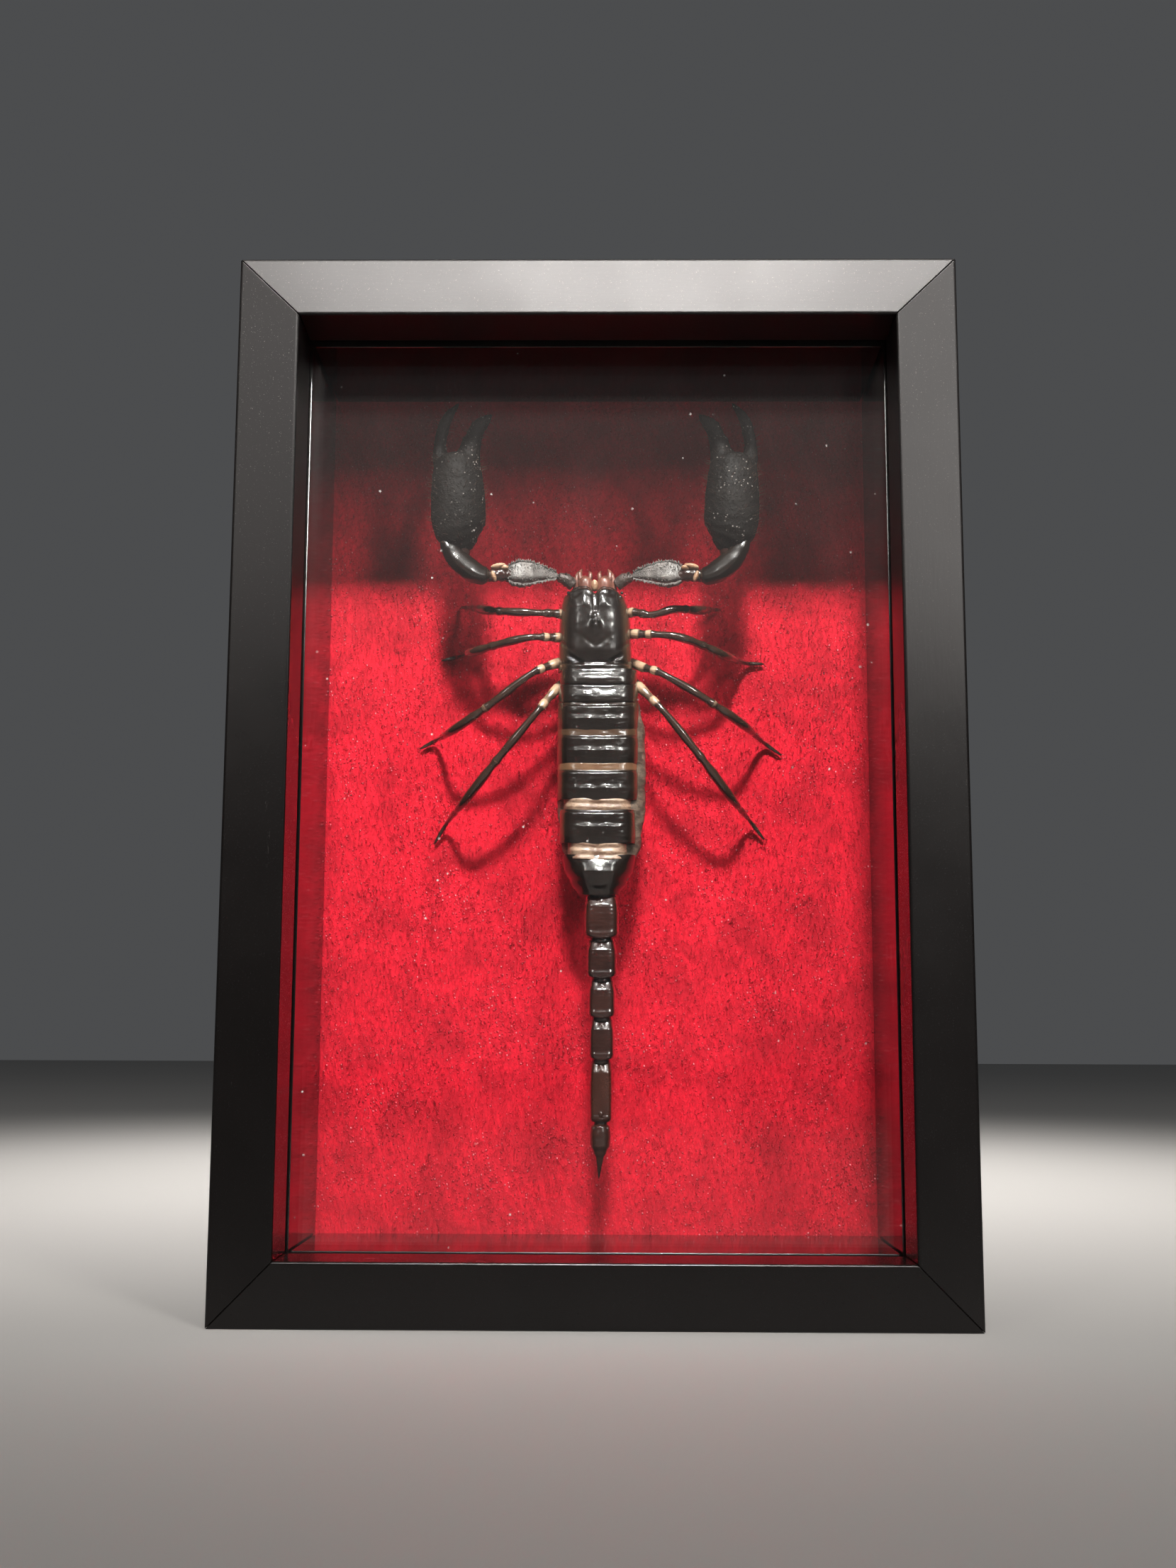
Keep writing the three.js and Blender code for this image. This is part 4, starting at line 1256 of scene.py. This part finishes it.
    def teeth(self, bm, route, profile, side):
        """A row of knobs along a finger's inner side, every fourth one larger"""
        count = 16
        for i in range(count):
            share = 0.2 + 0.72 * i / (count - 1)
            point, along, across, out = route.at(share)
            size = between(profile, share)
            inner = across * (-side if along.z > 0 else side)
            radius = 0.26 * size * (1.25 if i % 4 == 0 else 0.8)
            ball(bm, point + inner * (size * 0.9 * MM), (radius, radius, radius), 6, 8)

    def fuse(self, piece):
        """Melts overlapping solids into one skin"""
        remesh = piece.modifiers.new("One skin", "REMESH")
        remesh.mode = "VOXEL"
        remesh.voxel_size = VOXEL
        relax = piece.modifiers.new("Relax", "SMOOTH")
        relax.factor = 0.5
        relax.iterations = 2
        apply_modifiers(piece)
        piece.data.polygons.foreach_set("use_smooth", [True] * len(piece.data.polygons))


# The legs

LEGS = {
    # from the hip over the knee to the foot: across, up, and out from the cloth
    "leg_left_1": [(-4.6, 110.2, 12), (-6.7, 110.2, 13.4), (-11.3, 110, 15), (-16.6, 110.6, 13.5),
                   (-19, 111.6, 10.5), (-21.6, 113.5, 4), (-23.5, 114.5, 0.45)],
    "leg_left_2": [(-4.9, 106.4, 12), (-6.9, 106.2, 13.4), (-11.2, 105.8, 15), (-17, 104.9, 13),
                   (-20.6, 104.5, 10), (-23.9, 105.6, 1.2), (-26.8, 105.1, 0.45)],
    "leg_left_3": [(-5.2, 102.6, 12), (-7.2, 101.7, 13.4), (-10.7, 99.8, 15), (-16.8, 95.2, 14.5),
                   (-23.6, 91.3, 10.5), (-27.5, 91.1, 1.2), (-30.2, 89.8, 0.45)],
    "leg_left_4": [(-5.6, 99.0, 12), (-7.5, 96.6, 13.4), (-10.2, 92.9, 15), (-16.7, 85.1, 14),
                   (-21.7, 79.5, 10), (-25.3, 76.8, 2), (-27.5, 73.5, 0.45)],
    "leg_right_1": [(4.4, 110.6, 12), (6.3, 110.4, 13.4), (8.9, 109.8, 14.2), (12.5, 110.8, 14),
                    (16.7, 111.5, 10.5), (19.2, 113.2, 4), (21, 114.1, 0.45)],
    "leg_right_2": [(4.7, 107.2, 12), (6.7, 106.8, 13.4), (12.4, 106.1, 15), (17, 105.1, 13),
                    (20.9, 104, 10), (25.2, 104.6, 1.2), (28.4, 104.6, 0.45)],
    "leg_right_3": [(5.4, 102.4, 12), (7.3, 101.3, 13.4), (10.2, 100, 15), (16.9, 96.2, 14.5),
                    (23.6, 92.5, 10.5), (28.2, 90.8, 1.2), (31.2, 88.8, 0.45)],
    "leg_right_4": [(5.8, 99.3, 12), (7.8, 97.1, 13.4), (11.1, 93.3, 15), (17.4, 85.5, 14), (22, 80.1, 10),
                    (25.6, 77.4, 2), (28.1, 74.4, 0.45)],
}
LEG_PROFILE = [(0, 0.85), (0.04, 0.95), (0.075, 0.90), (0.10, 0.76), (0.115, 0.70), (0.135, 0.84),
               (0.155, 0.78), (0.175, 0.60), (0.20, 0.62), (0.32, 0.80), (0.41, 0.70), (0.44, 0.84),
               (0.46, 0.66), (0.52, 0.86), (0.62, 0.86), (0.72, 0.66), (0.75, 0.50), (0.78, 0.60),
               (0.86, 0.46), (0.88, 0.34), (0.92, 0.40), (0.98, 0.30), (1, 0.1)]
LEG_SPOTS = {
    # where each pair of legs is tan: share of the length, reach either way, strength
    "1": ((0.070, 0.014, 0.9), (0.442, 0.008, 0.35)),
    "2": ((0.070, 0.020, 0.9), (0.138, 0.016, 1.0), (0.442, 0.008, 0.4)),
    "3": ((0.060, 0.030, 0.55), (0.085, 0.014, 0.5), (0.140, 0.014, 1.0), (0.442, 0.012, 0.5),
          (0.75, 0.008, 0.3)),
    "4": ((0.055, 0.020, 0.7), (0.145, 0.014, 1.0), (0.100, 0.050, 0.42), (0.442, 0.008, 0.4)),
}


class SPECIMEN_OT_legs(bpy.types.Operator):
    """Build the eight legs, their bristles and their feet"""
    bl_idname = "specimen.legs"
    bl_label = "Legs"

    def execute(self, context):
        for number, (name, points) in enumerate(LEGS.items()):
            route = Route(points)
            spots = LEG_SPOTS[name[-1]]

            def relief(share, angle):
                return 1 + 0.05 * noise.noise(Vector((share * 30, math.cos(angle) * 2, number)))

            def tan_at(share):
                return min(sum(most * bump_at(share, centre, reach) for centre, reach, most in spots), 1.0)
            bm = limb_mesh(route, LEG_PROFILE, sides=14, rings=90, wide=0.92, thick=1.08, relief=relief,
                           mark=tan_at)
            point, along, across, out = route.at(1.0)
            for side in (-1, 1):
                spike(bm, point - along * 0.2 * MM, along * 0.8 + across * side * 0.7, 0.10, 0.9, sides=6)
            finished(name.replace("leg", "walking_leg"), bm, "leg", [name], subdivisions=1)
            bm = bmesh.new()
            seed = animal().seed + number * 31
            hairs(bm, route, LEG_PROFILE, 70, seed, length=(0.3, 0.9), radius=0.03, lean=1.0)
            finished(name.replace("leg", "leg_hairs"), bm, "hair")
        return {"FINISHED"}


class SPECIMEN_OT_joint_skins(bpy.types.Operator):
    """Build the pale skin at the elbows and between the jaws, and the dark cores of the elbows and wrists"""
    bl_idname = "specimen.joint_skins"
    bl_label = "Joint Skin"

    def execute(self, context):
        bm = bmesh.new()
        for side in (-1, 1):
            for x, z, height, radii, turn in ((15.6, 116.7, 18.9, (1.35, 0.8, 0.50), 0.20),
                                              (14.6, 116.5, 18.9, (0.75, 0.6, 0.45), 0.0),
                                              (16.3, 115.0, 19.2, (0.42, 0.6, 0.95), 0.35)):
                lean = Matrix.Rotation(side * turn, 4, "Y")
                ball(bm, over_cloth(ARM_MIDDLE + side * x, z, height), radii, turn=lean)
        ball(bm, over_cloth(-0.45, 114.5, BODY_HEIGHT + 1.6), (0.62, 0.8, 1.0))
        finished("joint_skins", bm, "skin", subdivisions=1)

        bm = bmesh.new()
        for side in (-1, 1):
            elbow = mirrored(side, [(13.6, 115.4, 17.7), (15.4, 115.5, 18.2), (17.6, 115.1, 18.4)])
            limb_mesh(elbow, [(0, 1.1), (0.35, 1.15), (0.7, 1.15), (1, 0.9)], sides=20, rings=14, mesh=bm,
                      relief=lambda share, angle: 1 + 0.08 * math.sin(share * 22 + math.sin(angle * 2)))
            wrist = mirrored(side, [(21.2, 118.0, 19.0), (21.3, 120.6, 19.3)])
            limb_mesh(wrist, [(0, 0.9), (0.5, 1.2), (1, 1.0)], sides=16, rings=8, mesh=bm)
        finished("joint_cores", bm, "tail", subdivisions=1)
        return {"FINISHED"}


# The stage

LIGHTS = {
    # place, what it points at, width and height, watts, spread in degrees
    "Key": ((0.05, -1.50, 1.57), (0.006, 0.01, 0.225), (0.45, 0.27), 1.62, 10.5),
    "Ceiling": ((0.0, -0.62, 1.15), (0, 0, 0.08), (2.6, 0.6), 1.5, 120),
    "Fill": ((0.05, -1.05, 0.98), (0, 0, 0.10), (1.2, 0.46), 0.90, 180),
    "Left side": ((-0.62, -1.05, 0.64), (-0.04, 0, 0.14), (0.20, 0.36), 0.30, 60),
    "Right side": ((0.66, -1.05, 0.64), (0.04, 0, 0.14), (0.20, 0.36), 1.05, 60),
}
LAMP_TINT = (1.0, 0.955, 0.92)
FLOOR_TINTS = ((0.33, 0.325, 0.315), (0.36, 0.355, 0.345))
SKY_TINT = (0.80, 0.82, 0.85, 1)
SKY_STRENGTH = 0.09
# The camera's place from the middle of the front's foot, in millimetres, its turns in degrees, and its focal
# length as a share of the picture's longer side
EYE_PLACE = (2.0, -256.0, 41.0)
EYE_PITCH, EYE_YAW, EYE_ROLL = 8.31, 0.70, -0.22
EYE_REACH = 2471.6 / 2212

class SPECIMEN_OT_stage(bpy.types.Operator):
    """Set the floor, the lights and the camera"""
    bl_idname = "specimen.stage"
    bl_label = "Stage"

    def execute(self, context):
        self.floor()
        self.world()
        for name, row in LIGHTS.items():
            self.light(name, *row)
        self.camera()
        return {"FINISHED"}

    def floor(self):
        bm = bmesh.new()
        bmesh.ops.create_grid(bm, x_segments=1, y_segments=1, size=3.0)
        mesh = bpy.data.meshes.new("floor")
        bm.to_mesh(mesh)
        bm.free()
        f = Finish("pale_floor")
        base = f.mix(f.noise(f.place(), 3, 3), *FLOOR_TINTS)
        mesh.materials.append(f.surface(f.principled(base_color=base, roughness=0.7)))
        floor = bpy.data.objects.new("floor", mesh)
        bpy.context.collection.objects.link(floor)

    def world(self):
        world = bpy.data.worlds.new("soft_studio")
        world.use_nodes = True
        background = world.node_tree.nodes["Background"]
        background.inputs["Color"].default_value = SKY_TINT
        background.inputs["Strength"].default_value = SKY_STRENGTH
        bpy.context.scene.world = world

    def light(self, name, place, target, size, power, spread):
        lamp = bpy.data.lights.new(name, "AREA")
        lamp.shape = "RECTANGLE"
        lamp.size, lamp.size_y = size
        lamp.energy = power
        lamp.spread = math.radians(spread)
        lamp.color = LAMP_TINT
        piece = bpy.data.objects.new(name, lamp)
        piece.location = place
        towards = Vector(target) - Vector(place)
        piece.rotation_euler = towards.to_track_quat("-Z", "Y").to_euler()
        bpy.context.collection.objects.link(piece)

    def camera(self):
        place = Vector(EYE_PLACE) * MM + Vector((0, FRONT, 0))
        pitch, yaw, roll = (math.radians(a) for a in (EYE_PITCH, EYE_YAW, EYE_ROLL))
        data = bpy.data.cameras.new("Camera")
        data.sensor_width = 36.0
        data.lens = EYE_REACH * data.sensor_width
        data.clip_start = 0.01
        eye = bpy.data.objects.new("Camera", data)
        turn = Matrix.Rotation(yaw, 4, "Z") @ Matrix.Rotation(math.pi / 2 + pitch, 4, "X")
        eye.matrix_world = Matrix.Translation(place) @ turn @ Matrix.Rotation(-roll, 4, "Z")
        bpy.context.collection.objects.link(eye)
        bpy.context.scene.camera = eye
        bpy.context.scene.view_settings.view_transform = "Standard"


class SPECIMEN_PT_panel(bpy.types.Panel):
    """Lists the steps and their sizes"""
    bl_label = "Framed Specimen"
    bl_idname = "SPECIMEN_PT_panel"
    bl_space_type = "VIEW_3D"
    bl_region_type = "UI"
    bl_category = "Specimen"

    def draw(self, context):
        for group in (context.scene.specimen_frame, context.scene.specimen_animal):
            for name in group.__annotations__:
                self.layout.prop(group, name)
        for operator in OPERATORS:
            self.layout.operator(operator.bl_idname)


OPERATORS = [
    SPECIMEN_OT_stage, SPECIMEN_OT_rails, SPECIMEN_OT_case, SPECIMEN_OT_fittings, SPECIMEN_OT_cloth,
    SPECIMEN_OT_head, SPECIMEN_OT_trunk, SPECIMEN_OT_tail, SPECIMEN_OT_arms, SPECIMEN_OT_joint_skins,
    SPECIMEN_OT_legs,
]
CLASSES = [FrameSizes, SpecimenSizes, *OPERATORS, SPECIMEN_PT_panel]


def register():
    for item in CLASSES:
        bpy.utils.register_class(item)
    bpy.types.Scene.specimen_frame = PointerProperty(type=FrameSizes)
    bpy.types.Scene.specimen_animal = PointerProperty(type=SpecimenSizes)


def unregister():
    del bpy.types.Scene.specimen_frame
    del bpy.types.Scene.specimen_animal
    for item in reversed(CLASSES):
        bpy.utils.unregister_class(item)


def main():
    register()
    for operator in OPERATORS:
        group, name = operator.bl_idname.split(".")
        getattr(getattr(bpy.ops, group), name)()


if __name__ == "__main__":
    main()
